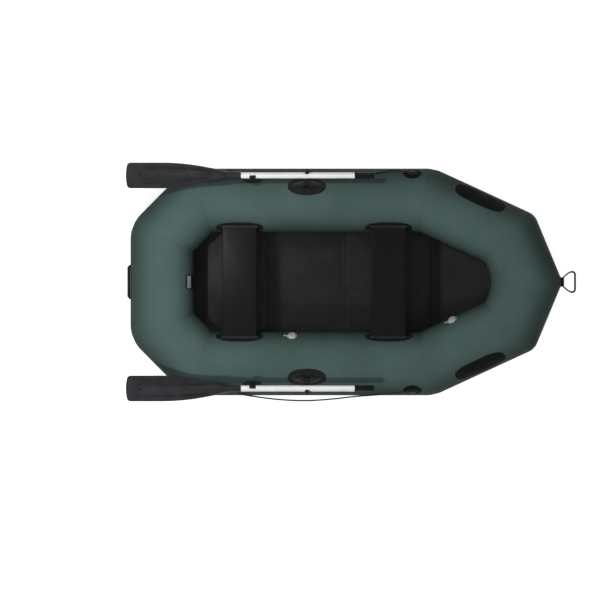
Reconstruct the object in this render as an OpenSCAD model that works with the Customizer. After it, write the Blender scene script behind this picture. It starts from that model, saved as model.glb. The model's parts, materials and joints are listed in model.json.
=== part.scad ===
// Inflatable rowing dinghy: +X to the bow, +Y to port, +Z up.
// It stands on its bottom sheet at z = 0. Places along the hull are counted from the stern's outer face.

/* [Hull] */
// Length of the hull from the stern's outer face to the stem
hull_length = 2400; // [2100:10:2900]
// Width of the hull over the side tubes
hull_width = 1260; // [1150:10:1500]
// Diameter of the air tubes
tube_diameter = 354; // [300:2:380]
// Half the width between the corners of the stern, at the tube's centreline
stern_corner_half = 246; // [200:2:320]
// Length that the quarter tubes take along the hull, at the centreline
quarter_length = 205; // [160:5:260]
// Distance from the stem back to the end of the straight side tubes, at the centreline
bow_length = 751; // [650:5:900]
// Half the width at the corners of the bow, at the centreline
nose_half_width = 241; // [200:1:300]
// Distance from the apex of the bow back to those corners, at the centreline
nose_length = 100; // [60:5:160]
// Angle at which the bow tubes rise
bow_rise = 11; // [4:0.5:14]

/* [Floor] */
// Thickness of the bottom sheet, on which the tubes stand
sheet_thickness = 2; // [1:0.5:4]
// Width of the seam outboard of the line on which the tubes stand
sheet_lap = 20; // [10:1:30]
// Thickness of the floor boards
board_thickness = 9; // [6:1:15]
// Width of the floor boards
board_width = 660; // [560:10:700]
// Places along the hull where the floor boards begin and meet
board_starts = [429, 722, 1192];
// Length of the last floor board, up to its point
bow_board_length = 438; // [400:2:450]
// Chamfer of the first floor board's corners
board_chamfer = 130; // [60:10:180]
// Gap between floor boards
board_gap = 6; // [3:1:10]
// Width of each leaf of the strips that hinge the floor boards
strip_leaf = 18; // [12:1:30]
// Thickness of the hinge strips
strip_thickness = 1.5; // [1:0.5:3]

/* [Seats] */
// Fore and aft width of a seat board
seat_width = 188; // [150:2:240]
// Thickness of a seat board
seat_thickness = 12; // [9:1:18]
// Drop from the top of the tubes to the underside of the seat boards
seat_drop = 66; // [56:1:76]
// Distance from the stern to the middle of the stern seat
stern_seat_at = 606; // [560:2:680]
// Distance from the stern to the middle of the bow seat
bow_seat_at = 1433; // [1300:5:1500]
// Length of the bar that holds the end of a seat
holder_length = 204; // [180:2:260]

/* [Rowlocks] */
// Distance from the stern to the rowlocks
rowlock_at = 980; // [900:5:1050]
// Angle of the rowlocks outboard of the top of the tube
rowlock_angle = 26.5; // [20:0.5:32]
// Height of the swivel's axle above the tube
axle_rise = 24; // [20:1:30]
// Radius of the swivel's axle
axle_radius = 6; // [5:0.5:7]
// Angle of the parked pin above the horizontal
pin_elevation = 42; // [40:1:46]
// Distance from the swivel's axle to the middle of the oar shaft
pin_length = 66; // [64:1:76]
// Radius of the pin that passes through the oar shaft
pin_radius = 7; // [6:0.5:8]
// Length of the cap at the end of the pin
cap_length = 28; // [20:1:36]
// Clearance of the moving parts of a rowlock
rowlock_clearance = 0.3; // [0.2:0.1:0.5]

/* [Oars] */
// Length from the pin to the tip of the blade
blade_reach = 1006; // [900:2:1100]
// Length from the pin to the end of the grip
grip_reach = 375; // [340:5:450]
// Width of the blade
blade_width = 162; // [130:2:164]
// Thickness of the blade
blade_thickness = 7; // [5:0.5:10]
// Length of the parallel part of the blade
blade_parallel = 196; // [150:1:240]
// Length over which the blade narrows to its neck
blade_taper = 366; // [320:1:400]
// Length of the neck that holds the shaft
neck_length = 77; // [60:1:100]
// Radius of the neck
neck_radius = 21; // [20:0.5:24]
// Radius of the shaft
shaft_radius = 17; // [15:0.5:18]
// Length of the grip
grip_length = 110; // [100:5:150]
// Angle of the parked blade above the horizontal
blade_elevation = 28; // [24:1:32]
// Distance from the stern to the clips that hold the parked shafts
clip_at = 678; // [640:2:720]
// Width of a clip
clip_width = 36; // [28:1:44]
// Gap between the clip and the moving shaft
clip_gap = 5.5; // [5:0.5:8]

/* [Fittings] */
// Thickness of the patches that are bonded to the tubes
patch_thickness = 3; // [2:0.5:4]
// Distance from the stern to the aft line eyelets
aft_eyelet_at = 530; // [510:2:550]
// Distance from the stern to the forward line eyelets
fore_eyelet_at = 1566; // [1546:2:1586]
// Angle of the line eyelets outboard of the top of the tube
eyelet_angle = 57.5; // [54:0.5:62]
// Radius of the moulded eye of a line eyelet
eye_radius = 13; // [10:1:15]
// Length of the moulded eye
eye_length = 34; // [28:1:40]
// Distance that the bow handle stands out from the stem
bow_handle_reach = 75; // [60:1:90]
// Half the width of the bow handle
bow_handle_half = 61; // [45:1:70]
// Distance that the stern handle stands out from the stern
stern_handle_reach = 18; // [17:1:25]
// Half the width of the stern handle
stern_handle_half = 96; // [80:2:120]
// Distance from the stern to the valve of the starboard side tube
side_valve_at = 897; // [860:1:940]
// Distance of the bow valve along the starboard bow tube
bow_valve_along = 243; // [200:1:290]
// Radius of an inflation valve
valve_radius = 28; // [24:1:32]
// Distance of the bow patches along the bow tubes
bow_patch_along = 285; // [270:5:330]
// Diameter of the grab lines
line_diameter = 8; // [6:0.5:10]

/* [Hidden] */
$fn = 64;

tube_r = tube_diameter / 2;
axis_z = sheet_thickness + tube_r;
patch_r = tube_r + patch_thickness;
side_y = hull_width / 2 - tube_r;
oar_overhang = blade_reach - rowlock_at;
stern_x = -(hull_length + bow_handle_reach - oar_overhang) / 2;

// Corners of the tube's centreline; the bow lies in a plane that rises from the side tubes' ends
nose_turn = atan(nose_length / nose_half_width);
apex_x = hull_length - tube_r / cos(nose_turn);
side_end_x = hull_length - bow_length;
function rising_z(x) = axis_z + (x - side_end_x) * tan(bow_rise);
function port_point(x, y, z) = [stern_x + x, y, z];
stern_corner = port_point(tube_r, stern_corner_half, axis_z);
quarter_corner = port_point(tube_r + quarter_length, side_y, axis_z);
side_end = port_point(side_end_x, side_y, axis_z);
nose_corner = port_point(apex_x - nose_length, nose_half_width, rising_z(apex_x - nose_length));
apex = port_point(apex_x, 0, rising_z(apex_x));
function across(p) = [p.x, -p.y, p.z];
function unit(v) = v / norm(v);

// Floor heights and the line where the floor turns up into the bow
sheet_top = sheet_thickness;
board_top = sheet_top + board_thickness;
function turn_up(depth) = depth * tan(bow_rise / 2);
sheet_bend_x = side_end.x + turn_up(axis_z);
board_bend_x = side_end.x + turn_up(axis_z - sheet_top);
board_half = board_width / 2;

// Rowlock and parked oar, in the section across the port side tube
axle_radius_from_tube = tube_r + axle_rise;
axle_point = [stern_x + rowlock_at, side_y + axle_radius_from_tube * sin(rowlock_angle),
    axis_z + axle_radius_from_tube * cos(rowlock_angle)];
pin_direction = [0, cos(pin_elevation), sin(pin_elevation)];
oar_point = axle_point + pin_length * pin_direction;
swivel_half = 15.5;
wing_gap = 1;
wing_reach = 82;
trunnion_reach = 30;
barrel_radius = 10;
post_half = 10;
collar_end = pin_length - shaft_radius - 2;
pin_end = pin_length + shaft_radius + 2;

neck_end_x = -(blade_reach - blade_parallel - blade_taper - neck_length);
neck_start_x = neck_end_x - neck_length;
taper_start_x = neck_start_x - blade_taper;
shaft_in_neck = 60;

// Lengths and widths of the oval patches
rowlock_patch = [213, 106];
clip_patch = [110, 64];
holder_patch = [264, 95];
eyelet_patch = [104, 88];
bow_patch = [300, 112];
plate_size = [84, 115];
plate_thickness = 1.5;

// Routes of the grab lines from the forward eyelet to the aft one: distance ahead of the aft
// eyelet, then out and up from the tube's axis, all for the drawn span and tube
line_radius = line_diameter / 2;
drawn_span = 1002;
drawn_reach = 186;
port_line_points = [[1002, 157, 100], [977.5, 160, 93.5], [942.5, 165.5, 79], [907.5, 166.5, 75],
    [867.5, 161, 85.5], [827.5, 154, 97], [787.5, 147.5, 107], [737.5, 142.5, 113.5],
    [677.5, 139, 117.7], [607.5, 137, 120], [527.5, 136.5, 120.5], [442.5, 137, 120],
    [357.5, 137.5, 119.4], [277.5, 139, 117.7], [207.5, 145, 110], [167.5, 149.5, 104],
    [127.5, 151.5, 101], [87.5, 152, 100.5], [57.5, 154, 98.5], [27.5, 156, 99], [0, 157, 100]];
starboard_line_points = [[1002, 157, 100], [977.5, 158.5, 99], [942.5, 163, 92],
    [892.5, 168, 81], [837.5, 173, 65], [782.5, 177, 48], [727.5, 181, 29], [667.5, 187, 9],
    [597.5, 195, -11], [517.5, 202, -28], [437.5, 206, -37], [357.5, 205, -37],
    [277.5, 200, -26], [212.5, 193, -9], [152.5, 185, 14], [102.5, 177, 39], [62.5, 169, 71],
    [31.5, 160.5, 91], [0, 157, 100]];
line_scale = (fore_eyelet_at - aft_eyelet_at - eye_length) / drawn_span;
reach_scale = (patch_r + 6) / drawn_reach;
function line_route(points) = [for (p = points) [
    stern_x + aft_eyelet_at + eye_length / 2 + line_scale * p.x,
    side_y + reach_scale * p.y, axis_z + reach_scale * p.z]];
rings_per_span = 2;
line_sides = 10;

// Turns +Z to the direction d
module aim(d) {
    rotate([0, acos(d.z / norm(d)), atan2(d.y, d.x)]) children();
}

// Everything on the positive side of the plane through the origin square to +Z
module half_space(size) {
    translate([-size, -size, 0]) cube([2 * size, 2 * size, 2 * size]);
}

// A straight run of tube from p to q, mitred against the runs from o and to n
module tube_run(o, p, q, n) {
    d = unit(q - p);
    difference() {
        translate(p) aim(d) translate([0, 0, -tube_r])
            cylinder(r = tube_r, h = norm(q - p) + 2 * tube_r, $fn = 128);
        translate(p) aim(-(unit(p - o) + d)) half_space(3 * tube_r);
        translate(q) aim(d + unit(n - q)) half_space(3 * tube_r);
    }
}

// Carries a piece made at the origin to a run of tube: +X along the run from p towards q,
// +Z out of the tube at an angle from its top, positive to the outside of the hull
module on_run(p, q, distance, angle) {
    d = unit(q - p);
    translate(p + distance * d) rotate([0, -asin(d.z), atan2(d.y, d.x)])
        rotate([-angle, 0, 0]) children();
}

module on_side(place, angle) {
    on_run(quarter_corner, side_end, stern_x + place - quarter_corner.x, angle) children();
}

// Outline of an oval; a power above 2 makes it squarer
module oval(size, power = 2) {
    polygon([for (a = [0:7.5:352.5]) [
        size.x / 2 * sign(cos(a)) * pow(abs(cos(a)), 2 / power),
        size.y / 2 * sign(sin(a)) * pow(abs(sin(a)), 2 / power)]]);
}

// A sheet that lies on the tube below +Z, cut to the outline given as its child
module tube_patch(thickness = patch_thickness, reach = 400) {
    intersection() {
        difference() {
            translate([-reach / 2, 0, 0]) rotate([0, 90, 0])
                cylinder(r = tube_r + thickness, h = reach, $fn = 128);
            translate([-reach / 2 - 1, 0, 0]) rotate([0, 90, 0])
                cylinder(r = tube_r, h = reach + 2, $fn = 128);
        }
        linear_extrude(tube_r + 2 * thickness) children();
    }
}

// Cuts the tube and its patch out of a fitting that stands on them
module clear_of_tube(radius = patch_r, reach = 600) {
    difference() {
        children();
        translate([-reach / 2, 0, 0]) rotate([0, 90, 0]) cylinder(r = radius, h = reach, $fn = 128);
    }
}

module stern_tube() {
    color("#47524d") tube_run(across(quarter_corner), across(stern_corner), stern_corner,
        quarter_corner);
}

module port_quarter_tube() {
    color("#475651") tube_run(across(stern_corner), stern_corner, quarter_corner, side_end);
}

module starboard_quarter_tube() {
    mirror([0, 1, 0]) port_quarter_tube();
}

module port_side_tube() {
    color("#46564f") tube_run(stern_corner, quarter_corner, side_end, nose_corner);
}

module starboard_side_tube() {
    mirror([0, 1, 0]) port_side_tube();
}

module port_bow_tube() {
    color("#475651") tube_run(quarter_corner, side_end, nose_corner, apex);
}

module starboard_bow_tube() {
    mirror([0, 1, 0]) port_bow_tube();
}

module port_nose_tube() {
    color("#46564f") tube_run(side_end, nose_corner, apex, across(nose_corner));
}

module starboard_nose_tube() {
    mirror([0, 1, 0]) port_nose_tube();
}

// Carries a piece drawn flat under the side tubes' ends to the plane of the rising bow
module in_rising_plane() {
    translate([side_end.x, 0, axis_z]) rotate([0, -bow_rise, 0]) translate([0, 0, -axis_z]) children();
}

// Everything ahead of the plane in which the flat floor meets the rising bow, or behind it
module beyond_bend(ahead) {
    translate([side_end.x, 0, axis_z]) rotate([0, ahead - bow_rise / 2, 0]) half_space(2 * hull_width);
}

// Outline of the bottom: the corners of the centreline, moved out by the lap under the tubes
function outward(p, q) = [p.y - q.y, q.x - p.x] / norm([q.x - p.x, q.y - p.y]);
function lapped(o, p, n) = let (before = outward(o, p), after = outward(p, n))
    [p.x, p.y] + sheet_lap * (before + after) / (1 + before * after);
function rising(p) = [(p.x - side_end.x) / cos(bow_rise), p.y];
function mirrored(points) = concat(points, [for (i = [len(points) - 1:-1:0]) [points[i].x, -points[i].y]]);

module bottom_sheet() {
    front = sheet_bend_x + turn_up(axis_z);
    color("#3c4844") difference() {
        linear_extrude(sheet_thickness) polygon(mirrored([
            lapped(across(stern_corner), stern_corner, quarter_corner),
            lapped(stern_corner, quarter_corner, side_end),
            [front, side_y + sheet_lap]]));
        beyond_bend(90);
    }
}

module bow_sheet() {
    back = -2 * turn_up(axis_z);
    color("#3c4844") difference() {
        in_rising_plane() linear_extrude(sheet_thickness) polygon(mirrored([
            [back, side_y + sheet_lap],
            lapped([back, side_y], rising(side_end), rising(nose_corner)),
            lapped(rising(side_end), rising(nose_corner), rising(apex)),
            lapped(rising(nose_corner), rising(apex), rising(across(nose_corner)))]));
        beyond_bend(-90);
    }
}

module flat_board(from_x, to_x) {
    translate([from_x, -board_half, sheet_top])
        cube([to_x - from_x, board_width, board_thickness]);
}

module stern_floor_board() {
    first = stern_x + board_starts[0];
    last = stern_x + board_starts[1] - board_gap / 2;
    color("#1d2022") translate([0, 0, sheet_top]) linear_extrude(board_thickness) polygon([
        [first + board_chamfer, board_half], [first, board_half - board_chamfer],
        [first, -board_half + board_chamfer], [first + board_chamfer, -board_half],
        [last, -board_half], [last, board_half]]);
}

module aft_floor_board() {
    color("#1d2022") flat_board(stern_x + board_starts[1] + board_gap / 2,
        stern_x + board_starts[2] - board_gap / 2);
}

module fore_floor_board() {
    color("#1d2022") flat_board(stern_x + board_starts[2] + board_gap / 2,
        board_bend_x - board_gap / 2 - turn_up(board_thickness));
}

module bow_floor_board() {
    back = -turn_up(axis_z - sheet_top) + board_gap / 2;
    shoulder = 70;
    point_half = 35;
    cheek_back = 104;
    cheek_in = 63;
    cheek = [(nose_corner.x - side_end.x) / cos(bow_rise) - cheek_back, nose_half_width - cheek_in];
    color("#1d2022") in_rising_plane() translate([0, 0, sheet_top]) linear_extrude(board_thickness)
        polygon([[back, board_half], [back, -board_half], [shoulder, -board_half], [cheek.x, -cheek.y],
            [back + bow_board_length, -point_half],
            [back + bow_board_length, point_half], cheek, [shoulder, board_half]]);
}

module strip(middle_x) {
    translate([middle_x - strip_leaf, -board_half + board_gap, board_top])
        cube([2 * strip_leaf, board_width - 2 * board_gap, strip_thickness]);
}

module floor_hinge_strips() {
    bend = board_bend_x - turn_up(board_thickness);
    color("#30353a") {
        strip(stern_x + board_starts[1]);
        strip(stern_x + board_starts[2]);
        translate([bend - strip_leaf, -board_half + board_gap, board_top])
            cube([strip_leaf - board_gap / 2, board_width - 2 * board_gap, strip_thickness]);
    }
}

seat_height = sheet_thickness + tube_diameter - seat_drop;
seat_low_r = seat_height - axis_z;
seat_end_angle = acos(seat_low_r / patch_r);
seat_end_y = side_y - sqrt(pow(patch_r, 2) - pow(seat_low_r, 2)) - 2;

module seat_board(place) {
    color("#1c1c1e") translate([stern_x + place - seat_width / 2, -seat_end_y, seat_height])
        cube([seat_width, 2 * seat_end_y, seat_thickness]);
}

module stern_seat() {
    seat_board(stern_seat_at);
}

module bow_seat() {
    seat_board(bow_seat_at);
}

// Moulded bar with a slot for the end of a seat board, on its oval patch
module seat_holder(place) {
    lip = 7;
    slot_clearance = 0.5;
    slot_depth = 11;
    bar_depth = 18;
    patch_below_seat = 6.5;
    color("#16181a") {
        on_side(place, -seat_end_angle - patch_below_seat) tube_patch() oval(holder_patch, 2.4);
        difference() {
            translate([stern_x + place - holder_length / 2, seat_end_y - slot_depth, seat_height - lip])
                cube([holder_length, bar_depth, seat_thickness + 2 * lip]);
            translate([stern_x + place, side_y, axis_z]) rotate([0, 90, 0])
                cylinder(r = patch_r, h = 2 * holder_length, center = true, $fn = 128);
            translate([stern_x + place - seat_width / 2 - slot_clearance, seat_end_y - bar_depth,
                seat_height]) cube([seat_width + 2 * slot_clearance, bar_depth + slot_clearance,
                    seat_thickness + slot_clearance]);
        }
    }
}

module port_stern_seat_holder() {
    seat_holder(stern_seat_at);
}

module starboard_stern_seat_holder() {
    mirror([0, 1, 0]) seat_holder(stern_seat_at);
}

module port_bow_seat_holder() {
    seat_holder(bow_seat_at);
}

module starboard_bow_seat_holder() {
    mirror([0, 1, 0]) seat_holder(bow_seat_at);
}

// Two tapering wings on an oval patch, with a blind bore in each for the swivel's axle
module port_rowlock_base() {
    inner = swivel_half + wing_gap;
    wing_half = 13;
    wing_top = axle_radius_from_tube + 13;
    color("#16181a") on_side(rowlock_at, rowlock_angle) {
        tube_patch() oval(rowlock_patch, 2.2);
        difference() {
            clear_of_tube() for (side = [0, 180]) rotate([0, 0, side])
                translate([0, wing_half, 0]) rotate([90, 0, 0]) linear_extrude(2 * wing_half) polygon([
                    [inner, tube_r - 20], [inner, wing_top], [inner + 16, wing_top],
                    [wing_reach, patch_r + 4], [wing_reach, tube_r - 20]]);
            translate([-trunnion_reach - 1, 0, axle_radius_from_tube]) rotate([0, 90, 0])
                cylinder(r = axle_radius + rowlock_clearance, h = 2 * trunnion_reach + 2);
        }
    }
}

module starboard_rowlock_base() {
    mirror([0, 1, 0]) port_rowlock_base();
}

// Carries a piece made at the origin to the port axle, with +Z along the parked pin
module on_port_axle() {
    translate(axle_point) rotate([pin_elevation - 90, 0, 0]) children();
}

module port_rowlock_swivel() {
    color("#202225") on_port_axle() {
        rotate([0, 90, 0]) cylinder(r = barrel_radius, h = 2 * swivel_half, center = true);
        rotate([0, 90, 0]) cylinder(r = axle_radius, h = 2 * trunnion_reach, center = true);
        translate([-swivel_half + 1, -post_half + 1, 0])
            cube([2 * swivel_half - 2, 2 * post_half - 2, collar_end - 5]);
        translate([0, 0, collar_end - 6]) cylinder(r = 13.5, h = 6);
        cylinder(r = pin_radius, h = pin_end);
    }
}

module starboard_rowlock_swivel() {
    mirror([0, 1, 0]) port_rowlock_swivel();
}

module port_pin_cap() {
    color("#1a1b1d") on_port_axle() translate([0, 0, pin_end])
        cylinder(r1 = 12, r2 = 6, h = cap_length);
}

module starboard_pin_cap() {
    mirror([0, 1, 0]) port_pin_cap();
}

// Carries a piece made at the origin to the port pin: +X along the shaft to the grip,
// +Y along the width of the blade
module on_port_pin() {
    translate(oar_point) rotate([blade_elevation, 0, 0]) children();
}

module along_x(from_x, to_x, r1, r2) {
    translate([from_x, 0, 0]) rotate([0, 90, 0]) cylinder(r1 = r1, r2 = r2, h = to_x - from_x);
}

module port_oar_shaft() {
    color("#cfd2d0") on_port_pin() difference() {
        along_x(neck_end_x - shaft_in_neck, grip_reach - grip_length, shaft_radius, shaft_radius);
        rotate([pin_elevation - blade_elevation - 90, 0, 0])
            cylinder(r = pin_radius + rowlock_clearance, h = 4 * shaft_radius, center = true);
    }
}

module starboard_oar_shaft() {
    mirror([0, 1, 0]) port_oar_shaft();
}

function arc(centre, radius, from, to, step = 15) =
    [for (a = [from:(to > from ? step : -step):to]) centre + radius * [cos(a), sin(a)]];

// The sides run parallel, then close on the neck along a parabola
module blade_outline() {
    corner = 20;
    steps = 12;
    half = blade_width / 2;
    root_half = neck_radius - 1;
    tip = arc([corner - blade_reach, half - corner], corner, 180, 90);
    taper = [for (i = [0:steps]) let (t = i / steps)
        [taper_start_x + t * blade_taper, root_half + (half - root_half) * (1 - t * t)]];
    polygon(mirrored(concat(tip, taper, [[neck_start_x + 12, root_half]])));
}

// Flat blade with a spine that thickens into the neck, bored for the shaft
module port_oar_blade() {
    spine_end_radius = 6;
    color("#1b1d1f") on_port_pin() difference() {
        union() {
            translate([0, 0, -blade_thickness / 2]) linear_extrude(blade_thickness) blade_outline();
            along_x(60 - blade_reach, neck_start_x, spine_end_radius, neck_radius);
            along_x(neck_start_x, neck_end_x, neck_radius, neck_radius);
        }
        along_x(neck_end_x - shaft_in_neck, neck_end_x + 1, shaft_radius, shaft_radius);
    }
}

module starboard_oar_blade() {
    mirror([0, 1, 0]) port_oar_blade();
}

module port_oar_grip() {
    color("#17181a") on_port_pin()
        along_x(grip_reach - grip_length, grip_reach, shaft_radius + 1, shaft_radius + 1);
}

module starboard_oar_grip() {
    mirror([0, 1, 0]) port_oar_grip();
}

// Post on the inboard side of the parked shaft; its top is rounded about the swivel's axle, so
// that the shaft passes over it as the rowlock tilts
module port_oar_clip() {
    inner = 13.5;
    outer = 33.5;
    top_r = pin_length - shaft_radius - clip_gap;
    clip_angle = asin((axle_point.y + outer - side_y) / patch_r);
    color("#141517") {
        on_side(clip_at, clip_angle) tube_patch() oval(clip_patch, 2.6);
        difference() {
            translate([clip_at - rowlock_at, 0, 0]) translate(axle_point) intersection() {
                translate([-clip_width / 2, inner, -tube_r / 2])
                    cube([clip_width, outer - inner, tube_r]);
                rotate([0, 90, 0]) linear_extrude(2 * clip_width, center = true) polygon(concat(
                    arc([0, 0], top_r, 180, 90, 7.5), [[tube_r, top_r], [tube_r, 0]]));
            }
            translate([stern_x + clip_at, side_y, axis_z]) rotate([0, 90, 0])
                cylinder(r = tube_r + patch_thickness / 2, h = 2 * clip_width, center = true,
                    $fn = 128);
        }
    }
}

module starboard_oar_clip() {
    mirror([0, 1, 0]) port_oar_clip();
}

// Moulded eye on an oval patch; the grab line goes into its end
module line_eyelet(place) {
    color("#141517") on_side(place, eyelet_angle) {
        tube_patch() oval(eyelet_patch);
        clear_of_tube() translate([-eye_length / 2, 0, patch_r]) rotate([0, 90, 0])
            cylinder(r = eye_radius, h = eye_length);
    }
}

module port_fore_line_eyelet() {
    line_eyelet(fore_eyelet_at);
}

module starboard_fore_line_eyelet() {
    mirror([0, 1, 0]) line_eyelet(fore_eyelet_at);
}

module port_aft_line_eyelet() {
    line_eyelet(aft_eyelet_at);
}

module starboard_aft_line_eyelet() {
    mirror([0, 1, 0]) line_eyelet(aft_eyelet_at);
}

// Smooth curve through the points, with the given number of steps between two points
function curve_at(a, b, c, d, t) = 0.5 * (2 * b + (c - a) * t + (2 * a - 5 * b + 4 * c - d) * t * t
    + (3 * b - a - 3 * c + d) * t * t * t);
function smooth_route(points, steps) = let (last = len(points) - 1) concat(
    [for (i = [0:last - 1]) for (s = [0:steps - 1]) curve_at(points[max(i - 1, 0)], points[i],
        points[i + 1], points[min(i + 2, last)], s / steps)],
    [points[last]]);

// A round line swept along a route, with a ring of points square to it at each step
module swept_line(points) {
    route = smooth_route(points, rings_per_span);
    count = len(route);
    heading = [for (i = [0:count - 1]) i == 0 || i == count - 1 ? [-1, 0, 0]
        : unit(route[i + 1] - route[i - 1])];
    ring_points = [for (i = [0:count - 1])
        let (side = unit(cross(heading[i], [0, 0, 1])), up = cross(side, heading[i]))
        for (k = [0:line_sides - 1])
            route[i] + line_radius * (cos(360 * k / line_sides) * side
                + sin(360 * k / line_sides) * up)];
    walls = [for (i = [0:count - 2]) for (k = [0:line_sides - 1])
        let (k2 = (k + 1) % line_sides)
        [i * line_sides + k, i * line_sides + k2, (i + 1) * line_sides + k2, (i + 1) * line_sides + k]];
    first_cap = [[for (k = [line_sides - 1:-1:0]) k]];
    last_cap = [[for (k = [0:line_sides - 1]) (count - 1) * line_sides + k]];
    polyhedron(ring_points, concat(walls, first_cap, last_cap));
}

module port_grab_line() {
    color("#1a1e2c") swept_line(line_route(port_line_points));
}

module starboard_grab_line() {
    color("#1a1e2c") mirror([0, 1, 0]) swept_line(line_route(starboard_line_points));
}

module bar(p, q, radius) {
    translate(p) aim(q - p) cylinder(r = radius, h = norm(q - p), $fn = 32);
}

// Loop at the stem: a base on the tip of the tubes, two bent arms and the outer bar
module bow_handle() {
    rod_radius = 4.5;
    bend_radius = 5.5;
    base_half = 27;
    base_height = 36;
    root_half = 22;
    widest_at = 46;
    outer_half = bow_handle_half - 7;
    stem_x = stern_x + hull_length;
    outer_x = stem_x + bow_handle_reach - bend_radius;
    height = apex.z + 5;
    color("#15171c") difference() {
        union() {
            translate([stem_x - 16, -base_half, height - base_height / 2])
                cube([27, 2 * base_half, base_height]);
            for (side = [1, -1]) {
                root = [stem_x + 5, side * root_half, height];
                widest = [stem_x + widest_at, side * (bow_handle_half - bend_radius), height];
                corner = [outer_x, side * outer_half, height];
                bar(root, widest, rod_radius);
                bar(widest, corner, rod_radius);
                for (bend = [widest, corner]) translate(bend) sphere(r = bend_radius, $fn = 32);
            }
            bar([outer_x, -outer_half, height], [outer_x, outer_half, height], rod_radius);
        }
        port_nose_tube();
        starboard_nose_tube();
    }
}

// Handle across the stern: a round bar that stands close to its patch, with a foot at each end
module stern_handle() {
    bar_radius = 6;
    foot = 24;
    foot_height = 30;
    patch_height = 92;
    bar_x = stern_x - stern_handle_reach + bar_radius;
    inner_half = stern_handle_half - foot / 2;
    color("#131417") {
        on_run(across(stern_corner), stern_corner, stern_corner_half, 90) tube_patch()
            oval([2 * stern_handle_half, patch_height], 3.2);
        difference() {
            union() {
                for (side = [1, -1])
                    translate([stern_x - stern_handle_reach, side * inner_half - foot / 2,
                        axis_z - foot_height / 2]) cube([stern_handle_reach + 6, foot, foot_height]);
                bar([bar_x, -inner_half, axis_z], [bar_x, inner_half, axis_z], bar_radius);
            }
            translate([stern_corner.x, 0, axis_z]) rotate([90, 0, 0])
                cylinder(r = tube_r + patch_thickness / 2, h = 3 * stern_handle_half, center = true,
                    $fn = 128);
        }
    }
}

// Valve body and its screwed cap, standing out of the tube
module valve() {
    clear_of_tube(tube_r) union() {
        translate([0, 0, tube_r - 12]) cylinder(r = valve_radius, h = 18);
        translate([0, 0, tube_r]) cylinder(r = valve_radius - 7, h = 14);
    }
}

module side_valve() {
    color("#a8a8a2") mirror([0, 1, 0]) on_side(side_valve_at, -60) valve();
}

module bow_valve() {
    color("#a8a8a2") mirror([0, 1, 0]) on_run(side_end, nose_corner, bow_valve_along, -66)
        valve();
}

module port_bow_patch() {
    color("#16181a") on_run(side_end, nose_corner, bow_patch_along, 51) tube_patch()
        oval(bow_patch, 3.2);
}

module starboard_bow_patch() {
    mirror([0, 1, 0]) port_bow_patch();
}

module stern_plate() {
    color("#3a4440") on_run(across(stern_corner), stern_corner, stern_corner_half, -66)
        tube_patch(plate_thickness) oval(plate_size, 8);
}

stern_tube();
port_quarter_tube();
starboard_quarter_tube();
port_side_tube();
starboard_side_tube();
port_bow_tube();
starboard_bow_tube();
port_nose_tube();
starboard_nose_tube();
bottom_sheet();
bow_sheet();
stern_floor_board();
aft_floor_board();
fore_floor_board();
bow_floor_board();
floor_hinge_strips();
stern_seat();
bow_seat();
port_stern_seat_holder();
starboard_stern_seat_holder();
port_bow_seat_holder();
starboard_bow_seat_holder();
port_rowlock_base();
starboard_rowlock_base();
port_rowlock_swivel();
starboard_rowlock_swivel();
port_pin_cap();
starboard_pin_cap();
port_oar_shaft();
starboard_oar_shaft();
port_oar_blade();
starboard_oar_blade();
port_oar_grip();
starboard_oar_grip();
port_oar_clip();
starboard_oar_clip();
port_fore_line_eyelet();
starboard_fore_line_eyelet();
port_aft_line_eyelet();
starboard_aft_line_eyelet();
port_grab_line();
starboard_grab_line();
bow_handle();
stern_handle();
side_valve();
bow_valve();
port_bow_patch();
starboard_bow_patch();
stern_plate();
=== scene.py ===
"""Inflatable rowing dinghy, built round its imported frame: +X to the bow, +Y to port, +Z up, metres.

Every shape is a grid of points worked out with numpy. Port pieces are drawn and starboard ones are
their mirror images. Places along the hull are counted from the stern's outer face.
"""
import json
from math import acos, atan, cos, degrees, hypot, pi, radians, sin, sqrt, tan

import bpy
import numpy as np
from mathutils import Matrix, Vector


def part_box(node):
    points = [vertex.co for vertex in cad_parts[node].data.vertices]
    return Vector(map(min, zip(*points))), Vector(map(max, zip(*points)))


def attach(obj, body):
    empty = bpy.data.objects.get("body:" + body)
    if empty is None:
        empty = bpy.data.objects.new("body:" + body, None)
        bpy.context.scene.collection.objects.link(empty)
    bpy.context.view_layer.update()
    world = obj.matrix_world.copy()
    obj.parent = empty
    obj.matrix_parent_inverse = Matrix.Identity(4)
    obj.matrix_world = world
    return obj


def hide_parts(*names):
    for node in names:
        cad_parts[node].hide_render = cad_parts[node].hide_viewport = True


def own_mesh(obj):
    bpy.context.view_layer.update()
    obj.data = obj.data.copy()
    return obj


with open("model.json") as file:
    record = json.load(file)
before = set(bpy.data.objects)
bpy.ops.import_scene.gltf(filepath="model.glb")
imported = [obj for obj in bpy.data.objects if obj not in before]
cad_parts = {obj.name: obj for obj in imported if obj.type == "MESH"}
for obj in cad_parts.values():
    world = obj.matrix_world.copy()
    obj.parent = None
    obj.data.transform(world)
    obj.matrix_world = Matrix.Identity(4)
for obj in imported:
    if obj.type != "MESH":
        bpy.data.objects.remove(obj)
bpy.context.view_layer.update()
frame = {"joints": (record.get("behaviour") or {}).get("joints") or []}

# ---------------------------------------------------------------- sizes taken from the frame
MM = 0.001
stern_low, stern_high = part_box("stern_tube")
side_low, side_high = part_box("port_side_tube")
TUBE_R = (side_high[2] - side_low[2]) / 2
STERN_X = stern_low[0]
SIDE_Y = side_high[1] - TUBE_R
AXIS_Z = side_low[2] + TUBE_R
JOINTS = {joint["name"]: joint for joint in frame["joints"]}

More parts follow.
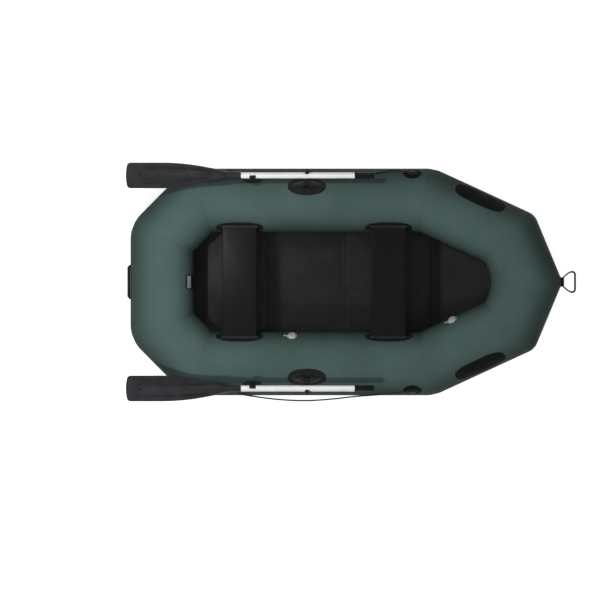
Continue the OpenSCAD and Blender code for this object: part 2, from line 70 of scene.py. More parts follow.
# ---------------------------------------------------------------- driving sizes of the hull
HULL_LENGTH = 2.4
STERN_HALF = 0.246
QUARTER_LENGTH = 0.205
BOW_LENGTH = 0.751
NOSE_HALF = 0.241
NOSE_LENGTH = 0.1
BOW_RISE = radians(11)


def ahead(x, y=0.0, z=0.0):
    """A point at distance x ahead of the stern's outer face."""
    return np.array([STERN_X + x, y, z])


def unit(v):
    """v at length 1, along its last axis."""
    v = np.asarray(v, float)
    return v / np.linalg.norm(v, axis=-1, keepdims=True)


def smooth(t):
    """0 below 0, 1 above 1, and 3t^2 - 2t^3 between."""
    t = np.clip(t, 0, 1)
    return t * t * (3 - 2 * t)


def in_mm(rows):
    """Rows of lengths given in millimetres, in metres."""
    return np.array(rows, float) * MM


def bell(x, width):
    """exp(-(x / width)^2)."""
    return np.exp(-np.square(np.asarray(x, float) / width))


def around(steps):
    """Angles of a full turn, without the last one that meets the first."""
    return np.arange(steps) * 2 * pi / steps


NOSE_TURN = atan(NOSE_LENGTH / NOSE_HALF)
APEX_X = HULL_LENGTH - TUBE_R / cos(NOSE_TURN)
SIDE_END_X = HULL_LENGTH - BOW_LENGTH
rise = tan(BOW_RISE)
stern_corner = ahead(TUBE_R, STERN_HALF, AXIS_Z)
quarter_corner = ahead(TUBE_R + QUARTER_LENGTH, SIDE_Y, AXIS_Z)
side_end = ahead(SIDE_END_X, SIDE_Y, AXIS_Z)
NOSE_X = APEX_X - NOSE_LENGTH
nose_corner = ahead(NOSE_X, NOSE_HALF, AXIS_Z + (NOSE_X - SIDE_END_X) * rise)
apex = ahead(APEX_X, 0, AXIS_Z + (APEX_X - SIDE_END_X) * rise)


# ---------------------------------------------------------------- meshes
def shell(points, wrap_u=False, wrap_v=True, capped=True):
    """Faces over a grid of points, rows along u and columns round v, closed at both ends by a face.

    The faces are turned outwards: the sum of v0 . (v1 x v2) over the triangles, six times the
    volume, is made positive. Each corner's UV is its own step along u and v, so nothing runs back
    across the seam.
    """
    rows, columns = points.shape[:2]
    index = np.arange(rows * columns).reshape(rows, columns)
    step = np.stack(np.meshgrid(np.arange(rows + 1) / rows, np.arange(columns + 1) / columns,
                                indexing="ij"), -1)
    if wrap_u:
        index = np.vstack([index, index[:1]])
    if wrap_v:
        index = np.hstack([index, index[:, :1]])
    corner = (slice(None, -1), slice(1, None))
    order = ((0, 0), (0, 1), (1, 1), (1, 0))
    quads = np.stack([index[corner[a], corner[b]] for a, b in order], -1).reshape(-1, 4)
    step = step[:index.shape[0], :index.shape[1]]
    uv = np.stack([step[corner[a], corner[b]] for a, b in order], -2).reshape(-1, 4, 2)
    verts = points.reshape(-1, 3)
    caps = [] if wrap_u or not capped else [index[0, :columns][::-1], index[-1, :columns]]
    fans = [np.stack([np.full(len(c) - 2, c[0]), c[1:-1], c[2:]], -1) for c in caps]
    triangles = np.vstack([quads[:, [0, 1, 2]], quads[:, [0, 2, 3]]] + fans)
    a, b, c = (verts[triangles[:, k]] for k in range(3))
    if np.einsum("ij,ij->", a, np.cross(b, c)) < 0:
        quads, uv = quads[:, ::-1], uv[:, ::-1]
        caps = [c[::-1] for c in caps]
    faces = quads.tolist() + [c.tolist() for c in caps]
    loops = np.vstack([uv.reshape(-1, 2), np.zeros((sum(map(len, caps)), 2))])
    return verts, faces, loops


def mirror(part):
    """The same shell on the other side of the hull: y changes sign and the faces turn over."""
    verts, faces, loops = part
    sizes = [len(face) for face in faces]
    starts = np.cumsum([0] + sizes[:-1])
    turned = np.concatenate([loops[s:s + n][::-1] for s, n in zip(starts, sizes)])
    return verts * [1, -1, 1], [face[::-1] for face in faces], turned


def piece(name, parts, body="hull", slot="black_plastic", stands_for=(), crease=38, attribute=None):
    """One object from pairs of a shell and its material, smooth but for edges past the crease."""
    mesh = bpy.data.meshes.new(name)
    finishes = list(dict.fromkeys(finish.name for _, finish in parts))
    verts, faces, loops, finish_of = [], [], [], []
    base = 0
    for (points, part_faces, part_loops), finish in parts:
        verts.append(points)
        faces += [[base + k for k in face] for face in part_faces]
        loops.append(part_loops)
        finish_of += [finishes.index(finish.name)] * len(part_faces)
        base += len(points)
    mesh.from_pydata(np.concatenate(verts).tolist(), [], faces)
    for finish in finishes:
        mesh.materials.append(bpy.data.materials[finish])
    mesh.polygons.foreach_set("material_index", finish_of)
    mesh.uv_layers.new(name="surface").uv.foreach_set("vector", np.concatenate(loops).ravel())
    if attribute:
        layer = mesh.attributes.new(attribute[0], "FLOAT", "POINT")
        layer.data.foreach_set("value", np.asarray(attribute[1], np.float32).ravel())
    mesh.shade_smooth()
    mesh.set_sharp_from_angle(angle=radians(crease))
    obj = bpy.data.objects.new(name, mesh)
    bpy.context.scene.collection.objects.link(obj)
    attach(obj, body)
    if stands_for:
        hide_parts(*stands_for)
    return obj


def mirrored(parts):
    """The same pairs of a shell and its material on the other side of the hull."""
    return [(mirror(part), finish) for part, finish in parts]


def both_sides(name, parts, body="hull", **settings):
    """The port piece and its mirror image; body names of moving pieces start with the side."""
    for side in ("port", "starboard"):
        rides = body if body == "hull" else f"{side}_{body}"
        piece(f"{side}_{name}_piece", parts if side == "port" else mirrored(parts), rides,
              stands_for=[f"{side}_{name}"], **settings)


def all_of(finish, *forms):
    """Pairs of each form and one material."""
    return [(form, finish) for form in forms]


# ---------------------------------------------------------------- places
def run_axes(start, end):
    """Directions along a run of tube, level out of the hull, and square to both."""
    d = unit(end - start)
    out = unit([-d[1], d[0], 0])
    return d, out, np.cross(d, out)


def on_run(start, end, along, turn):
    """Wraps (x, y, h) on a run of tube: x along it, y round it, h out of it.

    The angle from the top is turn + y / R, positive to the outside of the hull, and the distance
    from the axis is R + h.
    """
    d, out, up = run_axes(start, end)

    def place(x, y, h):
        x, y, h = np.broadcast_arrays(x, y, h)
        angle = radians(turn) + y / TUBE_R
        reach = TUBE_R + h
        return (start + (along + x)[..., None] * d + (reach * np.sin(angle))[..., None] * out
                + (reach * np.cos(angle))[..., None] * up)
    return place


def side_place(at, turn):
    """The port side tube's run, for a place at a distance ahead of the stern."""
    return quarter_corner, side_end, STERN_X + at - quarter_corner[0], turn


def on_side(at, turn):
    """Wraps (x, y, h) on the port side tube."""
    return on_run(*side_place(at, turn))


def rigid(origin, x_axis, y_axis, z_axis):
    """Carries (x, y, z) to the frame of three axes at an origin."""
    axes = np.array([x_axis, y_axis, z_axis], float)

    def place(x, y, z):
        return origin + np.stack(np.broadcast_arrays(x, y, z), -1) @ axes
    return place


def standing_on(start, end, along, turn):
    """A rigid frame whose origin lies on the tube and whose z points out of it."""
    d, out, up = run_axes(start, end)
    z = sin(radians(turn)) * out + cos(radians(turn)) * up
    return rigid(start + along * d + TUBE_R * z, d, np.cross(z, d), z)


def way(place, x, y, z):
    """The direction (x, y, z) of a rigid frame."""
    return place(x, y, z) - place(0, 0, 0)


def upright(place):
    """The same frame for a form turned about x, so that its axis stands along z."""
    return lambda x, y, z: place(y, z, x)


plain = rigid(np.zeros(3), [1, 0, 0], [0, 1, 0], [0, 0, 1])


# ---------------------------------------------------------------- outlines and forms
def oval(length, width, power=2.0, steps=96):
    """|2x / length|^p + |2y / width|^p = 1, counted anticlockwise."""
    a = around(steps)
    return np.stack([length / 2 * np.sign(np.cos(a)) * np.abs(np.cos(a)) ** (2 / power),
                     width / 2 * np.sign(np.sin(a)) * np.abs(np.sin(a)) ** (2 / power)], -1)


def bisectors(corners):
    """The bisector of the outward normals at each corner, and the cosine of half the turn there."""
    before = unit(corners - np.roll(corners, 1, axis=-2))
    after = np.roll(before, -1, axis=-2)
    left = np.stack([-before[..., 1], before[..., 0]], -1)
    middle = unit(left + np.stack([-after[..., 1], after[..., 0]], -1))
    return middle, (left * middle).sum(-1)


def corner_arcs(corners, radii, steps):
    """Arcs that round the corners of closed polygons listed clockwise.

    With m the bisector of the outward normals and h half the turn, the arc's centre is
    V - m r / cos h, and it runs from -h to h about m. Also gives the outward direction and the
    signed length from the middle of each arc.
    """
    middle, cos_half = bisectors(corners)
    centre = corners - middle * (radii / cos_half)[..., None]
    angle = np.linspace(-1, 1, steps) * np.arccos(cos_half)[..., None]
    travel = np.stack([middle[..., 1], -middle[..., 0]], -1)
    outward = (np.cos(angle)[..., None] * middle[..., None, :]
               + np.sin(angle)[..., None] * travel[..., None, :])
    return centre[..., None, :] + radii[..., None, None] * outward, outward, angle * radii[..., None]


def rounded(corners, radius, steps=7):
    """An anticlockwise outline with an arc at each corner."""
    corners = np.array(corners, float)[::-1]
    radii = np.broadcast_to(np.asarray(radius, float), len(corners))[::-1]
    return corner_arcs(corners, radii, steps)[0].reshape(-1, 2)[::-1]


def rectangle(low, high):
    """Corners of a rectangle, anticlockwise."""
    return [(low[0], low[1]), (high[0], low[1]), (high[0], high[1]), (low[0], high[1])]


def block(half_x, half_y, radius, steps=7):
    """A rectangle about the origin with rounded corners."""
    return rounded(rectangle((-half_x, -half_y), (half_x, half_y)), radius, steps)


def drawn_in(outline, inset):
    """The outline moved inwards along its own normals."""
    along = np.roll(outline, -1, 0) - np.roll(outline, 1, 0)
    normal = unit(np.stack([along[:, 1], -along[:, 0]], -1))
    return outline - normal * inset


def layered(outline, rows, place=plain):
    """Closed form from rows of (inset, scale, height), each the outline drawn in and scaled."""
    grid = np.stack([drawn_in(outline, inset) * scale for inset, scale, _ in rows])
    height = np.array(rows, float)[:, 2:]
    return shell(place(grid[..., 0], grid[..., 1], height))


def moulded(outline, rows, place):
    """The same from rows whose insets and heights are in millimetres."""
    metres = [(inset * MM, scale, height * MM) for inset, scale, height in rows]
    return layered(outline, metres, place)


def slab(outline, low, high, edge, place=plain):
    """A plate between two heights whose top and bottom edges are rounded to a quarter circle."""
    turns = np.linspace(0, pi / 2, 5)
    rows = [(edge * (1 - sin(a)), 1, low + edge * (1 - cos(a))) for a in turns]
    rows += [(edge * (1 - cos(a)), 1, high - edge * (1 - sin(a))) for a in turns]
    return layered(outline, rows, place)


def patch(outline, place, thickness=3 * MM, edge=1.4 * MM, lip=0.0):
    """A bonded patch: rounded rim, then level to the middle, with an optional raised lip."""
    rows = [(0, 1, -1.5 * MM), (0, 1, thickness - edge), (edge * 0.3, 1, thickness - edge * 0.3),
            (edge, 1, thickness), (4 * edge, 1, thickness - lip), (6 * edge, 1, thickness - lip)]
    rows += [(6 * edge, scale, thickness - lip) for scale in (0.85, 0.7, 0.55, 0.4, 0.25, 0.1, 0.02)]
    return layered(outline, rows, place)


def turned(profile, place, steps=48):
    """A profile of (x, r) turned about the x axis: y = r cos a, z = r sin a."""
    x, r = np.array(profile, float).T
    a = around(steps)
    return shell(place(x[:, None], r[:, None] * np.cos(a), r[:, None] * np.sin(a)))


def rod(path, radius, up=(0, 0, 1), steps=20, round_ends=True):
    """A round rod along a path: rings square to it, with half-round ends."""
    path = np.array(path, float)
    radius = np.broadcast_to(np.asarray(radius, float), len(path))
    tangent = unit(np.gradient(path, axis=0))
    if round_ends:
        bend = np.radians([5, 25, 45, 65, 80])
        back, front = bend[::-1], bend
        path = np.vstack([path[0] - np.sin(back)[:, None] * radius[0] * tangent[0], path,
                          path[-1] + np.sin(front)[:, None] * radius[-1] * tangent[-1]])
        radius = np.concatenate([radius[0] * np.cos(back), radius, radius[-1] * np.cos(front)])
        tangent = np.vstack([np.repeat(tangent[:1], 5, 0), tangent, np.repeat(tangent[-1:], 5, 0)])
    side = unit(np.cross(tangent, up))
    over = np.cross(side, tangent)
    a = around(steps)
    rings = (np.cos(a)[None, :, None] * side[:, None] + np.sin(a)[None, :, None] * over[:, None])
    return shell(path[:, None] + radius[:, None, None] * rings)


def flowing(points, per_span=8):
    """Catmull-Rom curve through the points."""
    points = np.array(points, float)
    padded = np.vstack([points[:1], points, points[-1:]])
    a, b, c, d = (padded[k:len(padded) - 3 + k, None] for k in range(4))
    t = (np.arange(per_span) / per_span)[None, :, None]
    curve = 0.5 * (2 * b + (c - a) * t + (2 * a - 5 * b + 4 * c - d) * t ** 2
                   + (3 * b - a - 3 * c + d) * t ** 3)
    return np.vstack([curve.reshape(-1, 3), points[-1:]])


def ring(centre, across, up, radius, wire, steps=40):
    """A closed round ring: radius (cos a, sin a) in the plane of two directions."""
    a = around(steps)
    b = around(12)
    across, up = unit(across), unit(up)
    axis = np.cross(across, up)
    spoke = np.cos(a)[:, None] * across + np.sin(a)[:, None] * up
    rings = np.cos(b)[None, :, None] * spoke[:, None] + np.sin(b)[None, :, None] * axis
    return shell(np.asarray(centre) + radius * spoke[:, None] + wire * rings, wrap_u=True)


# ---------------------------------------------------------------- node groups shared by the finishes
def group(name, inputs, outputs, build):
    """A shader node group: build(nodes, link, inputs, outputs) wires it."""
    tree = bpy.data.node_groups.new(name, "ShaderNodeTree")
    for label, kind, default in inputs:
        socket = tree.interface.new_socket(label, in_out="INPUT", socket_type=kind)
        if default is not None:
            socket.default_value = default
    for label, kind in outputs:
        tree.interface.new_socket(label, in_out="OUTPUT", socket_type=kind)
    source = tree.nodes.new("NodeGroupInput")
    target = tree.nodes.new("NodeGroupOutput")
    build(tree.nodes, tree.links.new, source.outputs, target.inputs)
    return tree


def node(nodes, kind, **settings):
    """A new node with its properties set by name, and its inputs set by a dict called values."""
    made = nodes.new(kind)
    values = settings.pop("values", {})
    for key, value in settings.items():
        setattr(made, key, value)
    for key, value in values.items():
        made.inputs[key].default_value = value
    return made


def mapped(nodes, link, value, low, high, to_low, to_high):
    """value taken from one range to another, clamped."""
    made = node(nodes, "ShaderNodeMapRange", values={1: low, 2: high, 3: to_low, 4: to_high})
    link(value, made.inputs[0])
    return made.outputs[0]


def worked(nodes, link, operation, *given, **settings):
    """The result of a maths node over numbers and sockets."""
    made = node(nodes, "ShaderNodeMath", operation=operation, **settings)
    for value, socket in zip(given, made.inputs):
        if isinstance(value, bpy.types.NodeSocket):
            link(value, socket)
        else:
            socket.default_value = value
    return made.outputs[0]


def tinted(nodes, link, colour, other, factor):
    """A colour mixed towards another, given as red, green and blue, by a factor."""
    mixed = node(nodes, "ShaderNodeMix", data_type="RGBA", values={"B": (*other, 1)})
    link(factor, mixed.inputs["Factor"])
    link(colour, mixed.inputs["A"])
    return mixed.outputs["Result"]


def bumped(nodes, link, height, distance):
    """A bump node that raises the surface by the distance where the height is 1."""
    bump = node(nodes, "ShaderNodeBump", values={"Strength": 1.0, "Distance": distance})
    link(height, bump.inputs["Height"])
    return bump


def scaled_noise(nodes, link, vector, scale, detail, stretch=(1, 1, 1), roughness=0.5):
    """Noise at a scale in cycles a metre, stretched along the axes."""
    mapping = node(nodes, "ShaderNodeMapping", values={"Scale": stretch})
    made = node(nodes, "ShaderNodeTexNoise", values={"Detail": detail, "Roughness": roughness})
    link(vector, mapping.inputs["Vector"])
    link(mapping.outputs[0], made.inputs["Vector"])
    if isinstance(scale, (int, float)):
        made.inputs["Scale"].default_value = scale
    else:
        link(scale, made.inputs["Scale"])
    return made.outputs["Fac"]


def build_mottle(nodes, link, given, out):
    """Broad clouds with a little fine speckle over them, 0 to 1."""
    clouds = scaled_noise(nodes, link, given["Coordinates"], given["Scale"], 3)
    fine = scaled_noise(nodes, link, given["Coordinates"], 900, 2)
    total = node(nodes, "ShaderNodeMix", data_type="FLOAT")
    link(given["Speckle"], total.inputs["Factor"])
    link(mapped(nodes, link, clouds, 0.3, 0.7, 0, 1), total.inputs["A"])
    link(mapped(nodes, link, fine, 0.3, 0.7, 0, 1), total.inputs["B"])
    link(total.outputs["Result"], out["Mask"])


def build_weave(nodes, link, given, out):
    """Threads of a coated cloth: the larger of two crossed sine ribs, softened by noise."""
    threads = []
    for direction in ("X", "DIAGONAL"):
        wave = node(nodes, "ShaderNodeTexWave", bands_direction=direction,
                    values={"Distortion": 0.6, "Detail": 1.0})
        link(given["Coordinates"], wave.inputs["Vector"])
        link(given["Scale"], wave.inputs["Scale"])
        threads.append(wave.outputs["Fac"])
    larger = worked(nodes, link, "MAXIMUM", *threads)
    soft = scaled_noise(nodes, link, given["Coordinates"], 420, 2)
    link(worked(nodes, link, "ADD", larger, soft), out["Height"])


def build_pebble(nodes, link, given, out):
    """Spark-eroded mould texture: small rounded cells with noise between them."""
    cells = node(nodes, "ShaderNodeTexVoronoi", feature="SMOOTH_F1", values={"Smoothness": 0.8})
    link(given["Coordinates"], cells.inputs["Vector"])
    link(given["Scale"], cells.inputs["Scale"])
    soft = scaled_noise(nodes, link, given["Coordinates"], given["Scale"], 4)
    link(worked(nodes, link, "ADD", cells.outputs["Distance"], soft), out["Height"])


def build_brushed(nodes, link, given, out):
    """Drawing lines along x: noise drawn out forty times longer than it is wide."""
    lines = scaled_noise(nodes, link, given["Coordinates"], given["Scale"], 4, stretch=(0.025, 1, 1))
    link(lines, out["Height"])


def build_braid(nodes, link, given, out):
    """Plaited strands: two helices of opposite hand over the UV, the larger on top."""
    hands = []
    for hand in (1, -1):
        mapping = node(nodes, "ShaderNodeMapping",
                       values={"Rotation": (0, 0, hand * radians(45)), "Scale": (90, 4, 1)})
        wave = node(nodes, "ShaderNodeTexWave", bands_direction="X",
                    values={"Scale": 0.32, "Distortion": 0.0})
        link(given["Coordinates"], mapping.inputs["Vector"])
        link(mapping.outputs[0], wave.inputs["Vector"])
        hands.append(wave.outputs["Fac"])
    link(worked(nodes, link, "MAXIMUM", *hands), out["Height"])


def build_scuffs(nodes, link, given, out):
    """Sparse rub marks: thin drawn-out noise kept where broad noise is high."""
    marks = scaled_noise(nodes, link, given["Coordinates"], 30, 6, stretch=(0.35, 1.6, 1.6),
                         roughness=0.7)
    where = scaled_noise(nodes, link, given["Coordinates"], 5, 2)
    both = worked(nodes, link, "MULTIPLY", mapped(nodes, link, marks, 0.56, 0.72, 0, 1),
                  mapped(nodes, link, where, 0.42, 0.62, 0, 1), use_clamp=True)
    link(both, out["Mask"])


PLACE = ("Coordinates", "NodeSocketVector", None)
SCALE = ("Scale", "NodeSocketFloat", 100.0)
MOTTLE = group("Mottled tone", [PLACE, SCALE, ("Speckle", "NodeSocketFloat", 0.2)],
               [("Mask", "NodeSocketFloat")], build_mottle)
SCUFFS = group("Rub marks", [PLACE], [("Mask", "NodeSocketFloat")], build_scuffs)
GRAINS = {
    name: group(label, [PLACE, SCALE], [("Height", "NodeSocketFloat")], build)
    for name, label, build in (("weave", "Cloth threads", build_weave),
                               ("pebble", "Moulded pebble", build_pebble),
                               ("brushed", "Drawn lines", build_brushed),
                               ("braid", "Plaited strands", build_braid))}


# ---------------------------------------------------------------- finishes
def tone(red, green, blue):
    """A colour given as screen values from 0 to 255, made linear."""
    c = np.array([red, green, blue]) / 255
    c = np.where(c <= 0.04045, c / 12.92, ((c + 0.055) / 1.055) ** 2.4)
    return (*c, 1.0)


def finish(name, light, dark, rough, grain, grain_scale, depth, mottle=6.0, speckle=0.2,
           scuffed=0.0, metallic=0.0, specular=0.5, coat=0.0, sheen=0.0, seams=False):
    """A finish: light and dark tones mixed by the mottle, roughness over a range, grain as bump.

    depth is how far the grain stands up, in metres. Scuffs turn the tone lighter and rougher.
    """
    made = bpy.data.materials.new(name)
    made.use_nodes = True
    nodes, link = made.node_tree.nodes, made.node_tree.links.new
    shader = nodes["Principled BSDF"]
    shader.inputs["Metallic"].default_value = metallic
    shader.inputs["Specular IOR Level"].default_value = specular
    shader.inputs["Coat Weight"].default_value = coat
    shader.inputs["Coat Roughness"].default_value = 0.3
    shader.inputs["Sheen Weight"].default_value = sheen
    places = node(nodes, "ShaderNodeTexCoord")
    place = places.outputs["UV" if grain == "braid" else "Object"]

    def use(tree, **values):
        made_group = node(nodes, "ShaderNodeGroup", node_tree=tree, values=values)
        link(place if tree is GRAINS[grain] else places.outputs["Object"],
             made_group.inputs["Coordinates"])
        return made_group.outputs[0]

    mask = use(MOTTLE, Scale=mottle, Speckle=speckle)
    colour = node(nodes, "ShaderNodeMix", data_type="RGBA", values={"A": light, "B": dark})
    link(mask, colour.inputs["Factor"])
    colour = colour.outputs["Result"]
    roughness = mapped(nodes, link, mask, 0, 1, *rough)
    if scuffed:
        marks = use(SCUFFS)
        worn = (min(1, c * 1.7 + 0.02) for c in light[:3])
        colour = tinted(nodes, link, colour, worn, mapped(nodes, link, marks, 0, 1, 0, scuffed))
        roughness = worked(nodes, link, "MULTIPLY_ADD", marks, 0.15 * scuffed, roughness,
                           use_clamp=True)
    normal = bumped(nodes, link, use(GRAINS[grain], Scale=grain_scale), depth).outputs["Normal"]
    # Seam lines, then painted shade down the tubes' sides.
    if seams:
        colour, normal = seam_lines(nodes, link, colour, normal, dark)
        colour = painted_side_shade(nodes, link, colour, dark)
    link(colour, shader.inputs["Base Color"])
    link(roughness, shader.inputs["Roughness"])
    link(normal, shader.inputs["Normal"])
    return made


SEAM_HALF = 22 * MM


def seam_lines(nodes, link, colour, normal, dark):
    """Welded seams: a fine dark joint line, and the step at each edge of the tape under it."""
    distance = node(nodes, "ShaderNodeAttribute", attribute_name="seam_distance").outputs["Fac"]
    line = mapped(nodes, link, distance, 0.4 * MM, 2.6 * MM, 1, 0)
    step = mapped(nodes, link, distance, SEAM_HALF, SEAM_HALF + 3 * MM, 1, 0)
    deep = (c * 0.55 for c in dark[:3])
    colour = tinted(nodes, link, colour, deep, mapped(nodes, link, line, 0, 1, 0, 0.28))
    bump = bumped(nodes, link, worked(nodes, link, "SUBTRACT", step, line), 0.5 * MM)
    link(normal, bump.inputs["Normal"])
    return colour, bump.outputs["Normal"]


def painted_side_shade(nodes, link, colour, dark):
    """Painted shade: the tubes' sides are darkened below the crown for the overhead light falling off
    down them; the crowns keep the full tone.

    The height above the tube's axis is z less the bow's rise, max(x - side end, 0) tan(rise).
    """
    split = node(nodes, "ShaderNodeSeparateXYZ")
    link(node(nodes, "ShaderNodeTexCoord").outputs["Object"], split.inputs["Vector"])
    beyond = worked(nodes, link, "SUBTRACT", split.outputs["X"], side_end[0])
    beyond = worked(nodes, link, "MAXIMUM", beyond, 0.0)
    risen = worked(nodes, link, "MULTIPLY", beyond, tan(BOW_RISE))
    height = worked(nodes, link, "SUBTRACT", split.outputs["Z"], risen)
    # Painted shade: up to two thirds of the way to a deep tone low on the sides, none near the crown.
    factor = mapped(nodes, link, height, AXIS_Z + 0.2 * TUBE_R, AXIS_Z + 0.9 * TUBE_R, 0.66, 0)
    return tinted(nodes, link, colour, (c * 0.3 for c in dark[:3]), factor)


# The green cloth gets the seam lines and the painted shade down the tubes' sides.
hull_cloth = finish("Green coated cloth", tone(74, 93, 90), tone(66, 84, 80), (0.62, 0.74), "weave",
                    700, 0.06 * MM, mottle=4, speckle=0.12, scuffed=0.12, specular=0.1, seams=True)
black_cloth = finish("Black coated cloth", tone(40, 38, 39), tone(26, 25, 26), (0.6, 0.8), "weave",
                     600, 0.06 * MM, speckle=0.2, scuffed=0.15, specular=0.2)
rubber = finish("Black moulded rubber", tone(35, 36, 38), tone(25, 26, 27), (0.5, 0.68), "pebble",
                1500, 0.08 * MM, mottle=14, scuffed=0.2, specular=0.4)
nylon = finish("Black glass-filled nylon", tone(37, 38, 41), tone(27, 28, 30), (0.52, 0.64),
               "pebble", 2200, 0.05 * MM, mottle=20, scuffed=0.25)
blade_plastic = finish("Black blade plastic", tone(47, 48, 50), tone(34, 35, 37), (0.5, 0.65),
                       "pebble", 1300, 0.1 * MM, mottle=12, scuffed=0.5)
board = finish("Embossed floor board", tone(40, 38, 39), tone(25, 24, 25), (0.36, 0.46), "pebble",
               420, 0.35 * MM, mottle=9, speckle=0.6, scuffed=0.4)
seat_board = finish("Satin seat board", tone(22, 20, 21), tone(16, 15, 15), (0.38, 0.46),
                    "brushed", 500, 0.05 * MM, mottle=5, speckle=0.15, scuffed=0.35, specular=0.5)
joiner = finish("Black joint strip", tone(40, 40, 41), tone(28, 28, 29), (0.5, 0.65), "brushed",
                700, 0.05 * MM, speckle=0.3, scuffed=0.2)
# Painted highlight: pale grey rods stand in for the light caught along the joint strips' leaf edges.
edge_highlight = finish("Painted edge highlight", tone(62, 67, 67), tone(48, 53, 53), (0.5, 0.6), "brushed", 700,
              0.05 * MM, speckle=0.3)
patch_cloth = finish("Matt black patch", tone(27, 27, 28), tone(19, 19, 20), (0.75, 0.9), "weave",
                     600, 0.06 * MM, mottle=10, speckle=0.2, scuffed=0.1, specular=0.15)
aluminium = finish("Drawn aluminium", tone(246, 246, 243), tone(234, 234, 230), (0.34, 0.46),
                   "brushed", 900, 0.02 * MM, mottle=10, speckle=0.3, scuffed=0.1, metallic=0.12)
grip_rubber = finish("Soft grip rubber", tone(27, 28, 30), tone(18, 18, 20), (0.6, 0.8), "pebble",
                     1800, 0.08 * MM, mottle=18, scuffed=0.15)
valve_plastic = finish("Grey valve plastic", tone(176, 175, 170), tone(150, 149, 144),
                       (0.4, 0.55), "pebble", 1900, 0.04 * MM, mottle=25, scuffed=0.2)
rope = finish("Navy plaited rope", tone(25, 26, 40), tone(12, 13, 21), (0.65, 0.85), "braid",
              1, 0.7 * MM, mottle=160, speckle=0.4, sheen=0.2)
label_film = finish("Blank label film", tone(150, 152, 158), tone(128, 130, 137), (0.35, 0.5),
                    "pebble", 900, 0.03 * MM, mottle=30, scuffed=0.3)
navy_loop = finish("Navy covered loop", tone(52, 49, 72), tone(37, 35, 53), (0.5, 0.65), "pebble",
                   1500, 0.06 * MM, mottle=30, speckle=0.3)
shade_black = finish("Hole shade", tone(9, 9, 10), tone(5, 5, 6), (0.8, 0.9), "pebble", 900,
                     0.05 * MM)


# ---------------------------------------------------------------- camera
def make_camera():
    """Straight down, orthographic, with the bow to the right."""
    data = bpy.data.cameras.new("overhead")
    data.type = "ORTHO"
    data.ortho_scale = 3.3333
    camera = bpy.data.objects.new("overhead", data)
    camera.location = (-0.2828, -0.1003, 4.0)
    bpy.context.scene.collection.objects.link(camera)
    bpy.context.scene.camera = camera


make_camera()

# ---------------------------------------------------------------- grab lines
LINE_R = 4 * MM
PORT_LINE = [(324.5, 610, 279), (300, 613, 272.5), (265, 618.5, 258), (230, 619.5, 254),
             (190, 614, 264.5), (150, 607, 276), (110, 600.5, 286), (60, 595.5, 292.5),
             (0, 592, 296.7), (-70, 590, 299), (-150, 589.5, 299.5), (-235, 590, 299),
             (-320, 590.5, 298.4), (-400, 592, 296.7), (-470, 598, 289), (-510, 602.5, 283),
             (-550, 604.5, 280), (-590, 605, 279.5), (-620, 607, 277.5), (-650, 609, 278),
             (-677.5, 610, 279)]
STARBOARD_LINE = [(324.5, -610, 279), (300, -611.5, 278), (265, -616, 271), (215, -621, 260),
                  (160, -626, 244), (105, -630, 227), (50, -634, 208), (-10, -640, 188),
                  (-80, -648, 168), (-160, -655, 151), (-240, -659, 142), (-320, -658, 142),
                  (-400, -653, 153), (-465, -646, 170), (-525, -638, 193), (-575, -630, 218),
                  (-615, -622, 250), (-646, -613.5, 270), (-677.5, -610, 279)]


def grab_line(side, points):
    """A plaited rope from the forward eyelet to the aft one."""
    path = flowing(np.array(points) * MM)
    line = piece(f"{side}_grab_line_piece", [(rod(path, LINE_R, steps=16, round_ends=False), rope)],
                 slot="grab_line", stands_for=(f"{side}_grab_line",), crease=70)


grab_line("port", PORT_LINE)
grab_line("starboard", STARBOARD_LINE)

# ---------------------------------------------------------------- air tube
BEND_HALF = 0.11
bend_radius = BEND_HALF / tan(BOW_RISE / 2)


def bent_up(points):
    """Carries the flat plan to the boat: level, then an arc about the side tubes' ends, then rising.

    Past the start of the arc, a point's heading turns by its distance over the arc's radius, up to
    the rise of the bow.
    """
    x, y, z = np.moveaxis(points, -1, 0)
    start = side_end[0] - BEND_HALF
    angle = np.clip((x - start) / bend_radius, 0, BOW_RISE)
    beyond = np.maximum(x - start - bend_radius * BOW_RISE, 0)
    before = np.minimum(x, start)
    height = z - AXIS_Z
    new_x = before + bend_radius * np.sin(angle) + beyond * np.cos(angle) - height * np.sin(angle)
    new_z = bend_radius * (1 - np.cos(angle)) + beyond * np.sin(angle) + height * np.cos(angle)
    return np.stack([new_x, y, AXIS_Z + new_z], -1)


def flat_x(x):
    """Distance ahead of the stern with the rising bow laid flat."""
    return SIDE_END_X + (x - SIDE_END_X) / cos(BOW_RISE)


port_corners = [(TUBE_R, STERN_HALF), (TUBE_R + QUARTER_LENGTH, SIDE_Y), (SIDE_END_X, SIDE_Y),
                (flat_x(NOSE_X), NOSE_HALF)]
plan_corners = np.array(port_corners + [(flat_x(APEX_X), 0)]
                        + [(x, -y) for x, y in port_corners[::-1]]) + [STERN_X, 0]
PORT_ROUNDING = [(0.02, 0.2), (0.03, 0.16), (0.05, 0.2), (0.06, 0.08)]
ROUNDING = np.array(PORT_ROUNDING + [(0.19, 0.06)] + PORT_ROUNDING[::-1])
AROUND = 96
ARC_STEPS = 17
RUN_STEP = 0.02
PANEL_SEAM_X = 1.053


